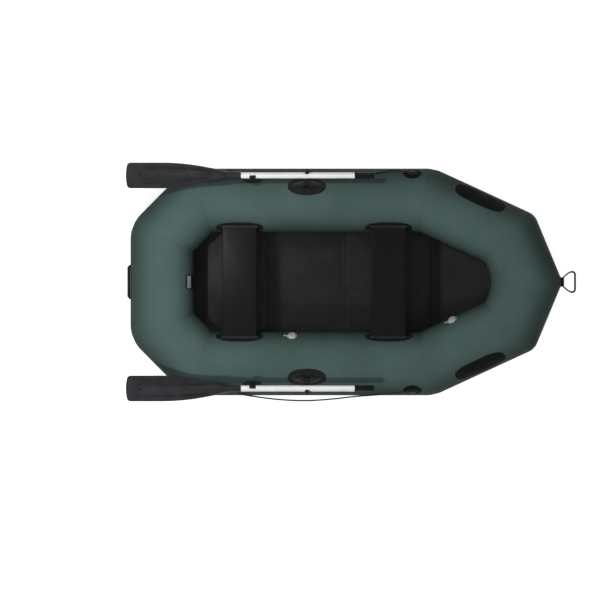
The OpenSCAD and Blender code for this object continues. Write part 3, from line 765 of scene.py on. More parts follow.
def make_air_tube():
    """The tube as one closed skin.

    At an angle a round the tube, the plan is the polygon of corners C + m R cos a / cos h, rounded
    by a radius that goes from the inner to the outer one with (1 + cos a) / 2, and the height is
    R sin a. Each mitre is drawn in by a millimetre, with faint puckers on its inner side.
    """
    a = around(AROUND)
    middle, cos_half = bisectors(plan_corners)
    shift = TUBE_R * np.cos(a)[:, None, None] * (middle / cos_half[:, None])
    weight = ((1 + np.cos(a)) / 2)[:, None]
    radii = ROUNDING[:, 0] * (1 - weight) + ROUNDING[:, 1] * weight
    arcs, outward, offset = corner_arcs(plan_corners + shift, radii, ARC_STEPS)
    rows, directions, distances = [], [], []
    for k in range(len(plan_corners)):
        n = (k + 1) % len(plan_corners)
        rows.append(arcs[:, k])
        directions.append(outward[:, k])
        distances.append(np.abs(offset[:, k]))
        gap = arcs[:, n, :1] - arcs[:, k, -1:]
        count = max(4, int(np.linalg.norm(plan_corners[n] - plan_corners[k]) / RUN_STEP))
        t = (np.arange(1, count) / count)[None, :, None]
        rows.append(arcs[:, k, -1:] + gap * t)
        directions.append(np.repeat(outward[:, k, -1:], count - 1, 1))
        length = np.linalg.norm(gap, axis=-1)
        distances.append(np.minimum(distances[-1][:, -1:] + length * t[..., 0],
                                    np.abs(offset[:, n, :1]) + length * (1 - t[..., 0])))
    plan, facing, distance = (np.concatenate(part, 1) for part in (rows, directions, distances))
    inner = np.maximum(-np.cos(a), 0)[:, None] ** 2
    drawn = (-1.1 * MM * bell(distance, 15 * MM)
             - 0.9 * MM * np.exp(-distance / (60 * MM)) * inner * (1 + np.sin(22 * a)[:, None]))
    plan = plan + facing * (drawn * np.cos(a)[:, None])[..., None]
    height = AXIS_Z + (TUBE_R + drawn) * np.sin(a)[:, None]
    skin = bent_up(np.concatenate([plan, height[..., None]], -1))
    from_seam = np.abs(plan[..., 0] - STERN_X - PANEL_SEAM_X)
    panel = np.where(np.abs(plan[..., 1]) > NOSE_HALF, from_seam, 1)
    tubes = ["stern_tube"] + [f"{side}_{run}_tube" for side in ("port", "starboard")
                              for run in ("quarter", "side", "bow", "nose")]
    piece("air_tube_piece", [(shell(skin, wrap_u=True), hull_cloth)], slot="hull_fabric",
          stands_for=tubes, crease=60, attribute=("seam_distance", np.minimum(distance, panel)))


make_air_tube()

# ---------------------------------------------------------------- bottom and floor
SHEET_T = 2 * MM
LAP = 0.02


def make_bottom():
    """The bottom sheet: the plan of the tube's axis let out by the lap, and bent up at the bow.

    Each row across the boat reaches to the half width there, and runs over the top and back under.
    """
    middle, cos_half = bisectors(plan_corners)
    let_out = plan_corners + middle * (LAP / cos_half)[:, None]
    port_x, half = let_out[:5].T
    x = np.unique(np.concatenate([np.linspace(port_x[0], port_x[-1] - 1 * MM, 130), port_x[:-1]]))
    reach = np.interp(x, port_x, half)[:, None]
    count = 25
    across = np.linspace(-1, 1, count)
    rim = SHEET_T * 0.25
    section_z = np.repeat([0, SHEET_T], count)
    section_z[[0, count - 1]] = rim
    section_z[[count, -1]] = SHEET_T - rim
    y = np.concatenate([across, across[::-1]]) * reach
    points = np.stack([np.broadcast_to(x[:, None], y.shape), y,
                       np.broadcast_to(section_z, y.shape)], -1)
    piece("bottom_piece", [(shell(bent_up(points)), black_cloth)], slot="black_fabric",
          stands_for=("bottom_sheet", "bow_sheet"), crease=50)


BOARD_HALF = 0.33
BOARD_T = 9 * MM
BOARD_EDGE = 2.5 * MM
BOARD_STARTS = (0.429, 0.722, 1.192)
BOARD_GAP = 6 * MM
BOW_BOARD = 0.438
SHOULDER = 0.07
CHEEK_BACK, CHEEK_IN = 0.104, 0.063
POINT_HALF = 0.035
CHAMFER = 0.13
LEAF = 18 * MM


def in_rising_plane(x, y, z):
    """Carries a flat floor shape, x counted from the side tubes' ends, to the rising bow."""
    x, y, z = np.broadcast_arrays(x, y, z)
    drop = z - AXIS_Z
    return np.stack([side_end[0] + x * cos(BOW_RISE) - drop * sin(BOW_RISE), y,
                     AXIS_Z + x * sin(BOW_RISE) + drop * cos(BOW_RISE)], -1)


def flat_strip(start, end, margin, low, high, edge, place=plain):
    """A strip across the floor, from start to end along the boat and short of the boards' sides."""
    half = BOARD_HALF - margin
    outline = rounded(rectangle((start, -half), (end, half)), 1.5 * MM, 4)
    return slab(outline, low, high, edge, place)


def round_strip(at, height, radius, margin):
    """A roll across the floor, short of the boards' sides; it serves for the joint rolls and for the
    pale rods of painted highlight.
    """
    across = rigid(np.array([at, 0, height]), [0, 1, 0], [1, 0, 0], [0, 0, 1])
    half = BOARD_HALF - margin
    return turned([(-half, radius), (half, radius)], across, 12)


def make_floor():
    """Four boards with eased edges, the joint strips over the gaps between them, and pale rods of
    painted highlight along the strips' edges.
    """
    low, high = SHEET_T, SHEET_T + BOARD_T
    gap = BOARD_GAP / 2
    bend = SIDE_END_X + (AXIS_Z - SHEET_T) * tan(BOW_RISE / 2)
    lift = BOARD_T * tan(BOW_RISE / 2)
    first, second, third = BOARD_STARTS
    outlines = {
        "stern": [(first, BOARD_HALF - CHAMFER), (first, CHAMFER - BOARD_HALF),
                  (first + CHAMFER, -BOARD_HALF), (second - gap, -BOARD_HALF),
                  (second - gap, BOARD_HALF), (first + CHAMFER, BOARD_HALF)],
        "aft": rectangle((second + gap, -BOARD_HALF), (third - gap, BOARD_HALF)),
        "fore": rectangle((third + gap, -BOARD_HALF), (bend - gap - lift, BOARD_HALF))}
    for name, corners in outlines.items():
        outline = rounded(np.array(corners) + [STERN_X, 0], 12 * MM)
        piece(f"{name}_floor_board_piece", [(slab(outline, low, high, BOARD_EDGE), board)],
              slot="floor_board", stands_for=(f"{name}_floor_board",))
    back = gap - (AXIS_Z - SHEET_T) * tan(BOW_RISE / 2)
    front = back + BOW_BOARD
    cheek = ((nose_corner[0] - side_end[0]) / cos(BOW_RISE) - CHEEK_BACK, NOSE_HALF - CHEEK_IN)
    port = [(front, POINT_HALF), cheek, (SHOULDER, BOARD_HALF), (back, BOARD_HALF)]
    bow = [(x, -y) for x, y in port[::-1]] + port
    outline = rounded(bow, np.array([0.01, 0.03, 0.03, 0.02, 0.02, 0.03, 0.03, 0.01]))
    edging = flat_strip(back + 2 * MM, back + 8 * MM, 8 * MM, high - 1 * MM, high + 0.8 * MM,
                        0.5 * MM, in_rising_plane)
    piece("bow_floor_board_piece",
          [(slab(outline, low, high, BOARD_EDGE, in_rising_plane), board), (edging, joiner)],
          slot="floor_board", stands_for=("bow_floor_board",))
    parts = []
    leaf = (6 * MM, high - 0.5 * MM, high + 1.5 * MM, 0.7 * MM)
    for middle in (STERN_X + second, STERN_X + third):
        for start, end in ((-LEAF, -1.2 * MM), (1.2 * MM, LEAF)):
            parts.append((flat_strip(middle + start, middle + end, *leaf), joiner))
        parts.append((round_strip(middle, high + 0.4 * MM, 1.2 * MM, 8 * MM), joiner))
    # Pale rods at the strips' leaf edges: painted highlight.
    for at in (second - 19 * MM, second + 21 * MM, third + 16 * MM):
        parts.append((round_strip(STERN_X + at, high + 0.3 * MM, 1.5 * MM, 7 * MM), edge_highlight))
    hinge = STERN_X + bend - lift
    parts.append((flat_strip(hinge - LEAF, hinge - gap, *leaf), joiner))
    piece("floor_joint_strips_piece", parts, slot="black_fabric", stands_for=("floor_hinge_strips",))


make_bottom()
make_floor()

# ---------------------------------------------------------------- seats
SEAT_W = 0.188
SEAT_T = 12 * MM
SEAT_LOW = 0.29
PATCH_R = TUBE_R + 3 * MM
SEAT_RISE = SEAT_LOW - AXIS_Z
SEAT_END_Y = SIDE_Y - sqrt(PATCH_R ** 2 - SEAT_RISE ** 2) - 2 * MM
SEAT_TURN = -degrees(acos(SEAT_RISE / PATCH_R))
SEATS = {"stern": 0.606, "bow": 1.433}
HOLDER_LENGTH = 0.204
BAR_DEPTH = 18 * MM


def make_seat(name, at):
    """A board with eased edges, held at each end in a moulded bar on an oval patch."""
    middle = STERN_X + at
    outline = rounded(rectangle((middle - SEAT_W / 2, -SEAT_END_Y),
                                (middle + SEAT_W / 2, SEAT_END_Y)), 5 * MM)
    piece(f"{name}_seat_piece", [(slab(outline, SEAT_LOW, SEAT_LOW + SEAT_T, 3.5 * MM), seat_board)],
          slot="seat_board", stands_for=(f"{name}_seat",))
    lip = 7 * MM
    low, high = SEAT_LOW - lip, SEAT_LOW + SEAT_T + lip
    inner = SEAT_END_Y - 11 * MM
    outer = inner + BAR_DEPTH
    half = HOLDER_LENGTH / 2
    x = np.linspace(-1, 1, 41)
    ends = (1 - np.abs(x) ** 14) ** 0.5
    clear = 0.5 * MM
    parts = [(patch(oval(0.264, 0.095, 2.4), on_side(at, SEAT_TURN - 6.5)), rubber)]
    for bottom, top in ((SEAT_LOW + SEAT_T + clear, high), (low, SEAT_LOW)):
        section = rounded(rectangle((inner, bottom), (outer, top)), 3.2 * MM, 5)
        centre = np.array([inner + outer, bottom + top]) / 2
        y = centre[0] + (section[:, 0] - centre[0]) * (0.75 + 0.25 * ends[:, None])
        z = centre[1] + (section[:, 1] - centre[1]) * (0.25 + 0.75 * ends[:, None])
        wall = SIDE_Y - np.sqrt(np.maximum(TUBE_R ** 2 - (z - AXIS_Z) ** 2, 0)) + 1 * MM
        y = np.minimum(y, wall)
        points = np.stack([np.broadcast_to((middle + x * half)[:, None], y.shape), y, z], -1)
        parts.append((shell(points), nylon))
    for side in (-1, 1):
        slot_half = SEAT_W / 2 + 0.8 * MM
        post_x = middle + side * (half + slot_half) / 2
        post_half = (half - slot_half) / 2
        post = rounded(rectangle((post_x - post_half + 0.5 * MM, inner + 1 * MM),
                                 (post_x + post_half - 1.5 * MM, outer - 1 * MM)), 2 * MM, 4)
        parts.append((slab(post, low + 2 * MM, high - 2 * MM, 1 * MM), nylon))
    back = rounded(rectangle((middle - half + 2 * MM, SEAT_END_Y + 0.8 * MM),
                             (middle + half - 2 * MM, outer)), 3 * MM, 5)
    parts.append((slab(back, low + 2 * MM, high - 0.6 * MM, 3 * MM), nylon))
    both_sides(f"{name}_seat_holder", parts)


for seat_name, seat_at in SEATS.items():
    make_seat(seat_name, seat_at)

# ---------------------------------------------------------------- rowlocks
ROWLOCK_AT = 0.98
tilt = JOINTS["port_rowlock_tilt"]
swing = JOINTS["port_oar_swing"]
axle = np.array(tilt["pos_m"])
pin = np.array(swing["pos_m"])
pin_way = unit(pin - axle)
PIN_L = float(np.linalg.norm(pin - axle))
ROWLOCK_TURN = degrees(np.arctan2(axle[1] - SIDE_Y, axle[2] - AXIS_Z))
AXLE_RISE = hypot(axle[1] - SIDE_Y, axle[2] - AXIS_Z) - TUBE_R
SHAFT_R = 17 * MM
PIN_R = 7 * MM
WING_IN, WING_OUT = 16.5 * MM, 82 * MM
on_axle = rigid(axle, [1, 0, 0], np.cross(pin_way, [1, 0, 0]), pin_way)


def wing(side, place):
    """A tapering hood: at x, y = w cos^0.75 b and z = h sin^0.6 b over a flat underside.

    h falls from the axle housing to the tip along a smooth step and w falls evenly; both close in
    at the tip.
    """
    x = np.linspace(WING_IN, WING_OUT, 36)
    t = smooth((WING_OUT - x) / (WING_OUT - WING_IN - 12 * MM))
    height = 6 * MM + (AXLE_RISE + 7 * MM) * t
    width = 9 * MM + 11 * MM * np.clip((WING_OUT - x) / (WING_OUT - WING_IN), 0, 1)
    tip = np.sqrt(np.clip((WING_OUT - x) / (7 * MM), 0.02, 1))
    height, width = height * (0.35 + 0.65 * tip), width * tip
    for eased in (height, width):
        eased[:3] *= [0.9, 0.97, 1]
    b = around(40)
    y = width[:, None] * np.sign(np.cos(b)) * np.abs(np.cos(b)) ** 0.75
    up = np.sign(np.sin(b)) * np.abs(np.sin(b)) ** 0.6
    z = np.where(up > 0, up * height[:, None], up * 9 * MM)
    return shell(place(side * x[:, None], y, z))


def make_rowlock():
    """Base with two wings on its oval patch, the swivel between them, and the cap on its pin."""
    stand = standing_on(*side_place(ROWLOCK_AT, ROWLOCK_TURN))
    pad = [(0, 1, 1), (0, 1, 3.5), (0.8, 1, 4.6), (2.5, 1, 5.2), (2.5, 0.6, 5.6), (2.5, 0.05, 5.6)]
    wrapped = on_side(ROWLOCK_AT, ROWLOCK_TURN)
    parts = [(patch(oval(0.213, 0.106, 2.2), wrapped, lip=0.6 * MM), rubber),
             *all_of(nylon, moulded(oval(0.172, 0.056, 2.3), pad, wrapped), wing(1, stand),
                     wing(-1, stand))]
    for side in (-1, 1):
        foot = lambda x, y, h, side=side: wrapped(x + side * 22 * MM, y - 26 * MM, h)
        rows = [(0, 1, 1), (0, 1, 7), (1, 1, 9), (3, 1, 10), (3, 0.1, 10)]
        parts.append((moulded(oval(16 * MM, 14 * MM, 3, 32), rows, foot), nylon))
    both_sides("rowlock_base", parts)

    barrel = in_mm([(-15.5, 8.5), (-15.2, 9.6), (-14, 10), (14, 10), (15.2, 9.6), (15.5, 8.5)])
    stub = in_mm([(-30, 5), (-29, 6), (29, 6), (30, 5)])
    cap_start = PIN_L + SHAFT_R + 2 * MM
    collar_end = PIN_L - SHAFT_R - 2 * MM
    collar = in_mm([(-6, 11), (-5, 13), (-3.5, 13.5), (-1.5, 13.5), (-0.4, 13), (0, 12)])
    collar[:, 0] += collar_end
    stem = [(0, PIN_R), (cap_start - 1 * MM, PIN_R), (cap_start, 6 * MM)]
    post = block(14.5 * MM, 9 * MM, 5 * MM, 6)
    x, y = post.T
    levels = np.array([0, 0.25, 0.5, 0.75, 0.92, 1.0])
    narrow = np.array([1.0, 0.98, 0.9, 0.84, 0.82, 0.8])
    tall = shell(on_axle(x * narrow[:, None], y * (0.3 + 0.7 * narrow[:, None]),
                         (levels * (collar_end - 5 * MM))[:, None]))
    dome = np.linspace(0, 1, 8)
    boss = np.stack([collar_end - 4 * MM + 1.6 * MM * np.sin(dome * pi / 2),
                     12.5 * MM * np.cos(dome * pi / 2 * 0.98)], -1)
    along_pin = upright(on_axle)
    both_sides("rowlock_swivel", all_of(
        nylon, turned(barrel, on_axle), turned(stub, on_axle), tall, turned(collar, along_pin),
        turned(boss, along_pin), turned(stem, along_pin, 32)), body="rowlock")

    cap_length = 28 * MM
    t = np.linspace(0, 1, 25)
    a = around(48)
    nose = np.sqrt(np.clip(1 - ((t - 0.85) / 0.155) ** 2, 0, 1))
    radius = (12 - 6 * t) * MM * np.where(t > 0.85, nose, 1) * np.where(t < 0.04, 0.94, 1)
    ridged = smooth((t - 0.1) * 8) * smooth((0.85 - t) * 8)
    r = radius[:, None] * (1 + 0.05 * np.cos(12 * a) * ridged[:, None])
    cap = shell(on_axle(r * np.cos(a), r * np.sin(a), (cap_start + t * cap_length)[:, None]))
    loop_at = on_axle(15 * MM, 0, cap_start + 9 * MM)
    loop = ring(loop_at, [1, 0, 0], pin_way, 6.5 * MM, 1.3 * MM, 32)
    x, z = in_mm([(7, 4), (9.5, 6), (10, 9)]).T
    strap = rod(on_axle(x, 0, cap_start + z), 1.4 * MM, up=(0, 1, 0), steps=12)
    both_sides("pin_cap", all_of(rubber, cap, loop, strap), body="rowlock")


make_rowlock()

# ---------------------------------------------------------------- oars
BLADE_LIFT = radians(28)
on_pin = rigid(pin, [1, 0, 0], [0, cos(BLADE_LIFT), sin(BLADE_LIFT)],
               [0, -sin(BLADE_LIFT), cos(BLADE_LIFT)])
BLADE_TIP = -1.006
BLADE_HALF = 81 * MM
TAPER_FROM, TAPER_LENGTH = -0.81, 0.366
NECK_R = 21 * MM
NECK = 77 * MM
NECK_END = TAPER_FROM + TAPER_LENGTH + NECK
GRIP_START, GRIP_END = 0.265, 0.375
RIBS = (-0.7, -0.42, 0.62)


def make_blade():
    """The blade and its neck as one loft.

    The half width is w = r + (W - r)(1 - t^2) along the taper, with the tip's corners rounded off.
    Across it, with s = y / w, the face stands at the edge thickness times (1 - s^10)^0.5, plus a
    central spine that swells into the neck and narrow ribs that stay at fixed s, and so close on
    the neck. Over the last stretch the section turns to the circle w (1 - s^2)^0.5.
    """
    corner = 20 * MM
    tip_run = corner * (1 - np.cos(np.linspace(0, pi / 2, 14)))
    x = np.concatenate([BLADE_TIP + tip_run, np.linspace(BLADE_TIP + corner, NECK_END, 150)[1:]])
    t = np.clip((x - TAPER_FROM) / TAPER_LENGTH, 0, 1)
    width = NECK_R + (BLADE_HALF - NECK_R) * (1 - t * t)
    back = np.clip((BLADE_TIP + corner - x) / corner, 0, 1)
    width -= corner * (1 - np.sqrt(1 - back ** 2))
    b = around(176)
    s = np.cos(b)
    across = s[None, :] * width[:, None]
    flat = (1 - np.abs(s) ** 10) ** 0.5
    edge = np.clip(1 - (x - BLADE_TIP) / (4 * MM), 0, 1)
    depth = 3.5 * MM * np.sqrt(np.clip(1 - edge ** 2, 0.05, 1))
    spine = smooth((x - BLADE_TIP - 45 * MM) / (30 * MM))
    swell = smooth((x - TAPER_FROM) / TAPER_LENGTH)
    spine_h = (2.2 * MM * spine + 13 * MM * swell)[:, None]
    spine_w = (14 * MM + 3 * MM * swell)[:, None]
    crown = spine_h / (1 + (np.abs(across) / spine_w) ** 6)
    ribs = sum(bell(s - rib, 0.03) * 3.4 * MM - bell(s - rib - 0.07, 0.024) * 2 * MM for rib in RIBS)
    ribs = ribs[None, :] * (spine * smooth((-0.46 - x) / (90 * MM)))[:, None]
    rim = 1.0 * MM * smooth((np.abs(s) - 0.88) / 0.05)[None, :] * smooth((-0.5 - x) / 0.1)[:, None]
    plate = depth[:, None] * flat + (crown + ribs + rim) * flat
    roundness = smooth((x - (NECK_END - NECK - 130 * MM)) / (125 * MM))[:, None]
    tube = width[:, None] * np.abs(np.sin(b))
    up = np.sign(np.sin(b)) * (plate * (1 - roundness) + tube * roundness)
    end = np.clip((NECK_END - x) / (3 * MM), 0, 1)
    close = (0.93 + 0.07 * np.sqrt(1 - (1 - end) ** 2))[:, None]
    bulge = 10 * MM * np.exp(-(x - BLADE_TIP) / (45 * MM))[:, None]
    pulled = x[:, None] + bulge * (across / BLADE_HALF) ** 2
    parts = [(shell(on_pin(pulled, across * close, up * close)), blade_plastic)]
    for at, stand in ((BLADE_TIP + 77 * MM, 5.9 * MM), (BLADE_TIP + 0.338, 10.2 * MM)):
        for face in (1, -1):
            seat = rigid(on_pin(at, 7 * MM, face * stand), [1, 0, 0], way(on_pin, 0, face, 0),
                         way(on_pin, 0, 0, face))
            profile = in_mm([(-2, 5.2), (0.6, 5.4), (1, 4.9), (0.9, 4.3), (0.7, 0.3)])
            parts.append((turned(profile, upright(seat), 24), shade_black))
    dimple = rigid(on_pin(NECK_END - 25 * MM, 0, NECK_R - 1 * MM), [1, 0, 0],
                   way(on_pin, 0, 1, 0), way(on_pin, 0, 0, 1))
    screw = in_mm([(0, 3.6), (1.3, 3.5), (1.7, 2.6), (1.5, 1.2), (1.5, 0.2)])
    parts.append((turned(screw, upright(dimple), 24), shade_black))
    both_sides("oar_blade", parts, body="oar", slot="black_plastic", crease=45)


def make_shaft_and_grip():
    """The drawn tube, with eased ends inside the neck and grip, and the ringed rubber grip."""
    ends = (NECK_END - 60 * MM, GRIP_START + 6 * MM)
    profile = [(ends[0], 15.5 * MM), (ends[0] + 1 * MM, SHAFT_R)]
    profile += [(x, SHAFT_R) for x in np.linspace(ends[0] + 20 * MM, ends[1] - 20 * MM, 40)]
    profile += [(ends[1] - 1 * MM, SHAFT_R), (ends[1], 15.5 * MM)]
    both_sides("oar_shaft", [(turned(profile, on_pin, 96), aluminium)], body="oar",
               slot="oar_aluminium")
    x = np.linspace(GRIP_START, GRIP_END - 9 * MM, 150)
    t = (x - GRIP_START) / (GRIP_END - GRIP_START)
    r = (17.9 - 1.6 * smooth((t - 0.08) * 6) + 0.9 * smooth((t - 0.75) * 6)) * MM
    rings = np.cos((x - GRIP_START) * 2 * pi / (6 * MM)) * smooth((t - 0.12) * 12)
    r = r + 0.55 * MM * rings * smooth((0.84 - t) * 12)
    r[0] -= 1 * MM
    bend = np.linspace(0, pi / 2, 9)[1:]
    x = np.concatenate([x, GRIP_END - 9 * MM + 9 * MM * np.sin(bend)])
    r = np.concatenate([r, r[-1] - 9 * MM * (1 - np.cos(bend) * 0.98)])
    both_sides("oar_grip", [(turned(np.stack([x, r], -1), on_pin, 72), grip_rubber)], body="oar",
               slot="oar_grip")


make_blade()
make_shaft_and_grip()

# ---------------------------------------------------------------- clips that hold the parked shafts
CLIP_AT = 0.678
CLIP_W = 36 * MM
CLIP_TOP = PIN_L - SHAFT_R - 5.8 * MM
CLIP_IN, CLIP_OUT = 13.5 * MM, 33.5 * MM


def make_clip():
    """Moulded post on an oval patch, and the rubber lip that laps over the parked shaft.

    The post's top is an arc about the swivel's axle. The lip is an arc about the shaft's axis, from
    its top round the inboard side, with a thick root and a thin edge; the tube swings past it by
    pressing it flat.
    """
    aft = np.array([CLIP_AT - ROWLOCK_AT, 0, 0])
    turn = degrees(np.arcsin((axle[1] + CLIP_OUT - SIDE_Y) / PATCH_R))
    reach_in, reach_out = sqrt(CLIP_TOP ** 2 - CLIP_IN ** 2), sqrt(CLIP_TOP ** 2 - CLIP_OUT ** 2)
    a = np.linspace(np.arctan2(reach_in, CLIP_IN + 2 * MM),
                    np.arctan2(reach_out, CLIP_OUT - 2 * MM), 9)
    top = (CLIP_TOP - 0.4 * MM) * np.stack([np.cos(a), np.sin(a)], -1)
    section = np.vstack([[(CLIP_OUT, -0.055), (CLIP_IN, -0.036), (CLIP_IN, reach_in - 4 * MM)], top,
                         [(CLIP_OUT, reach_out - 4 * MM)]])
    x = np.linspace(-1, 1, 25)[:, None]
    ends = 0.86 + 0.14 * np.sqrt(1 - np.abs(x) ** 14)
    middle = np.array([(CLIP_IN + CLIP_OUT) / 2, -0.01])
    y = middle[0] + (section[:, 0] - middle[0]) * ends
    z = middle[1] + (section[:, 1] - middle[1]) * (0.5 + 0.5 * ends)
    post = shell(np.stack([np.broadcast_to(x * CLIP_W / 2, y.shape), y, z], -1) + axle + aft)
    base = patch(oval(0.11, 0.064, 2.6), on_side(CLIP_AT, turn))
    both_sides("oar_clip", all_of(rubber, base, post), crease=50)
    a = np.radians(np.linspace(-2, 115, 40))[:, None]
    x = np.linspace(-1, 1, 13)
    thick = (1.6 + 1.6 * smooth(a / 1.2)) * MM
    near = SHAFT_R + 0.6 * MM
    x = np.concatenate([x, x[::-1]])
    reach = near + np.repeat([0, 1], 13) * thick * (1 - 0.6 * np.abs(x) ** 12)
    lip = shell(pin + aft + np.stack([np.broadcast_to(x * CLIP_W / 2, reach.shape),
                                      -reach * np.sin(a), reach * np.cos(a)], -1))
    for side, form, flip in (("port", lip, [1, 1, 1]), ("starboard", mirror(lip), [1, -1, 1])):
        made = piece(f"{side}_clip_lip_piece", [(form, rubber)])
        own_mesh(made)


make_clip()

# ---------------------------------------------------------------- fittings on the tubes
EYELETS = {"fore": (1.566, -1), "aft": (0.53, 1)}
EYELET_TURN = 57.5


def make_eyelet(name, at, rope_side):
    """A moulded dome on an oval patch: a level rim, then a hood that holds the line's knot."""
    place = on_side(at, EYELET_TURN)
    hood = [(0, 1, 1), (0, 1, 4), (0.6, 1, 5.5), (2, 1, 7), (4, 1, 10), (6, 1, 13.2), (8, 1, 15),
            (10, 1, 15.8), (10, 0.5, 16.2), (10, 0.05, 16.3)]
    parts = [(patch(oval(0.104, 0.088), place), patch_cloth),
             (moulded(oval(46 * MM, 34 * MM, 2.3, 64), hood, place), nylon)]
    stand = standing_on(*side_place(at, EYELET_TURN))
    mouth = stand(rope_side * 17.5 * MM, 0, 8.5 * MM)
    hole = ring(mouth, way(stand, 0, 1, 0), way(stand, 0, 0, 1), 6.2 * MM, 1.8 * MM, 28)
    b = np.linspace(0.04, pi - 0.04, 14)
    knot = np.stack([-6.5 * MM * np.cos(b), 7.4 * MM * np.sin(b) ** 0.8], -1)
    seat = rigid(stand(rope_side * 21 * MM, 0, 8 * MM), way(stand, 1, 0.25, 0),
                 way(stand, -0.25, 1, 0), way(stand, 0, 0, 1))
    both_sides(f"{name}_line_eyelet", parts + [(hole, nylon), (turned(knot, seat, 28), rope)])


for eyelet, (eyelet_at, toward) in EYELETS.items():
    make_eyelet(eyelet, eyelet_at, toward)


def make_valve(name, where):
    """An inflation valve: flange, knurled cap with a raised grip bar, and the tether aft of it."""
    place, wrapped = standing_on(*where), on_run(*where)
    a = around(96)
    knurl = 0.025 * np.cos(24 * a)
    flange = in_mm([(-3, 28), (2.2, 28), (3.4, 27.2), (4.2, 25.6), (4.4, 24.4), (3.4, 23.6),
                    (3.2, 22.4)])
    height, radius = in_mm([(3, 21), (8, 21), (10.2, 20.6), (11.6, 19.4), (12.2, 17.6), (12.2, 13.6),
                            (11, 12.6), (10.8, 11), (11.2, 6), (11.4, 0.4)]).T[..., None]
    r = radius * (1 + knurl * smooth((radius - 17 * MM) / (2 * MM)))
    cap = shell(place(r * np.cos(a), r * np.sin(a), height))
    grip = slab(block(11 * MM, 2.2 * MM, 2 * MM, 5), 9 * MM, 13.6 * MM, 1 * MM, place)
    strap = slab(rounded(in_mm([(-41, -3), (-20, -4), (-20, 4), (-41, 3)]), 2.2 * MM, 5), 0.2 * MM,
                 3.4 * MM, 0.8 * MM, wrapped)
    eye = ring(wrapped(-40 * MM, 0, 3.2 * MM), way(wrapped, 1, 0, 0), way(place, 0, 1, 0), 4.6 * MM,
               1.7 * MM, 28)
    parts = all_of(valve_plastic, turned(flange, upright(place), 72), cap, grip, strap, eye)
    piece(f"{name}_piece", mirrored(parts), slot="valve_plastic", stands_for=(name,))


make_valve("side_valve", side_place(0.897, -60))
make_valve("bow_valve", (side_end, nose_corner, 0.243, -66))

bow_oval = patch(oval(0.3, 0.112, 3.2, 128), on_run(side_end, nose_corner, 0.285, 51),
                 edge=1.8 * MM, lip=0.5 * MM)
both_sides("bow_patch", [(bow_oval, patch_cloth)], slot="black_fabric")


def make_stern_plate():
    """A bare label: a dark backing with a paler blank field let into it."""
    across_stern = (stern_corner * [1, -1, 1], stern_corner, STERN_HALF, -66)
    backing = patch(oval(0.084, 0.115, 8), on_run(*across_stern), thickness=1.5 * MM, edge=0.6 * MM)
    field = patch(oval(0.07, 0.036, 12), on_run(*across_stern[:3], -57), thickness=1.9 * MM,
                  edge=0.4 * MM)
    piece("stern_plate_piece", [(backing, rubber), (field, label_film)], slot="plate",
          stands_for=("stern_plate",))


make_stern_plate()

BOW_REACH = 75 * MM
BOW_HALF = 56.5 * MM


def make_bow_handle():
    """A bent rod: out along two bowed arms, round the corners, and across the outer bar."""
    stem = STERN_X + HULL_LENGTH
    height = apex[2] + 5 * MM
    outer = BOW_REACH - 5.5 * MM
    bend = 16 * MM
    arm = in_mm([(-10, 17), (4, 25), (22, 41), (38, 52.5)])
    turn = np.linspace(-0.2, pi / 2, 12)
    arc = np.stack([outer - bend + bend * np.sin(turn), BOW_HALF - bend + bend * np.cos(turn)], -1)
    port = flowing(np.column_stack([np.vstack([arm, arc]), np.zeros(16)]), 6)[:, :2]
    plan = np.vstack([port, port[::-1] * [1, -1]]) + [stem, 0]
    route = np.column_stack([plan, np.full(len(plan), height)])
    wire = (4.0 + 1.5 * smooth((plan[:, 0] - stem - 36 * MM) / (22 * MM))) * MM
    loop = rod(route, wire, steps=24)
    foot = rounded(rectangle((stem - 15 * MM, -26 * MM), (stem + 9 * MM, 26 * MM)), 5 * MM, 6)
    base = slab(foot, height - 17 * MM, height + 17 * MM, 5 * MM)
    piece("bow_handle_piece", [(loop, navy_loop), (base, rubber)], stands_for=("bow_handle",))


STERN_REACH = 18 * MM
STERN_GRIP_HALF = 96 * MM


def make_stern_handle():
    """A moulded grip close to its patch across the stern: two rounded feet joined by a ribbed bar.

    Along y the bar stands off by the reach, and falls to the patch at both ends with a smooth step.
    """
    y = np.linspace(-1, 1, 161)
    half = STERN_GRIP_HALF
    feet = smooth((np.abs(y) - 0.72) / 0.16)
    radius = 6 * MM + 1.2 * MM * feet
    out = STERN_X - STERN_REACH + 6.4 * MM + 8 * MM * smooth((np.abs(y) - 0.8) / 0.2)
    ribs = 0.35 * MM * np.cos(y * half * 2 * pi / (7 * MM)) * (1 - feet)
    b = around(32)
    close = np.sqrt(np.clip(1 - (np.abs(y) / 1.003) ** 30, 0.02, 1))[:, None]
    tall = (radius + 7 * MM * feet + ribs)[:, None] * close
    deep = (radius + ribs)[:, None] * close
    points = np.stack([np.clip(out[:, None] + deep * np.cos(b), STERN_X - STERN_REACH, None),
                       np.broadcast_to((y * half * 0.985)[:, None], (len(y), 32)),
                       AXIS_Z + tall * np.sin(b)], -1)
    across_stern = (stern_corner * [1, -1, 1], stern_corner)
    web = rounded(rectangle((STERN_X - 11 * MM, 10 * MM - half), (STERN_X + 1 * MM, half - 10 * MM)),
                  3 * MM, 4)
    forms = [shell(points), slab(web, AXIS_Z - 1.2 * MM, AXIS_Z + 1.2 * MM, 1 * MM),
             patch(oval(2 * half, 92 * MM, 3.2, 128), on_run(*across_stern, STERN_HALF, 90))]
    for side in (-1, 1):
        stand = standing_on(*across_stern, STERN_HALF + side * (half - 14 * MM), 90)
        forms.append(slab(block(12 * MM, 15 * MM, 5 * MM, 5), 0, 11 * MM, 3 * MM, stand))
    piece("stern_handle_piece", all_of(rubber, *forms), stands_for=("stern_handle",))


make_bow_handle()
make_stern_handle()


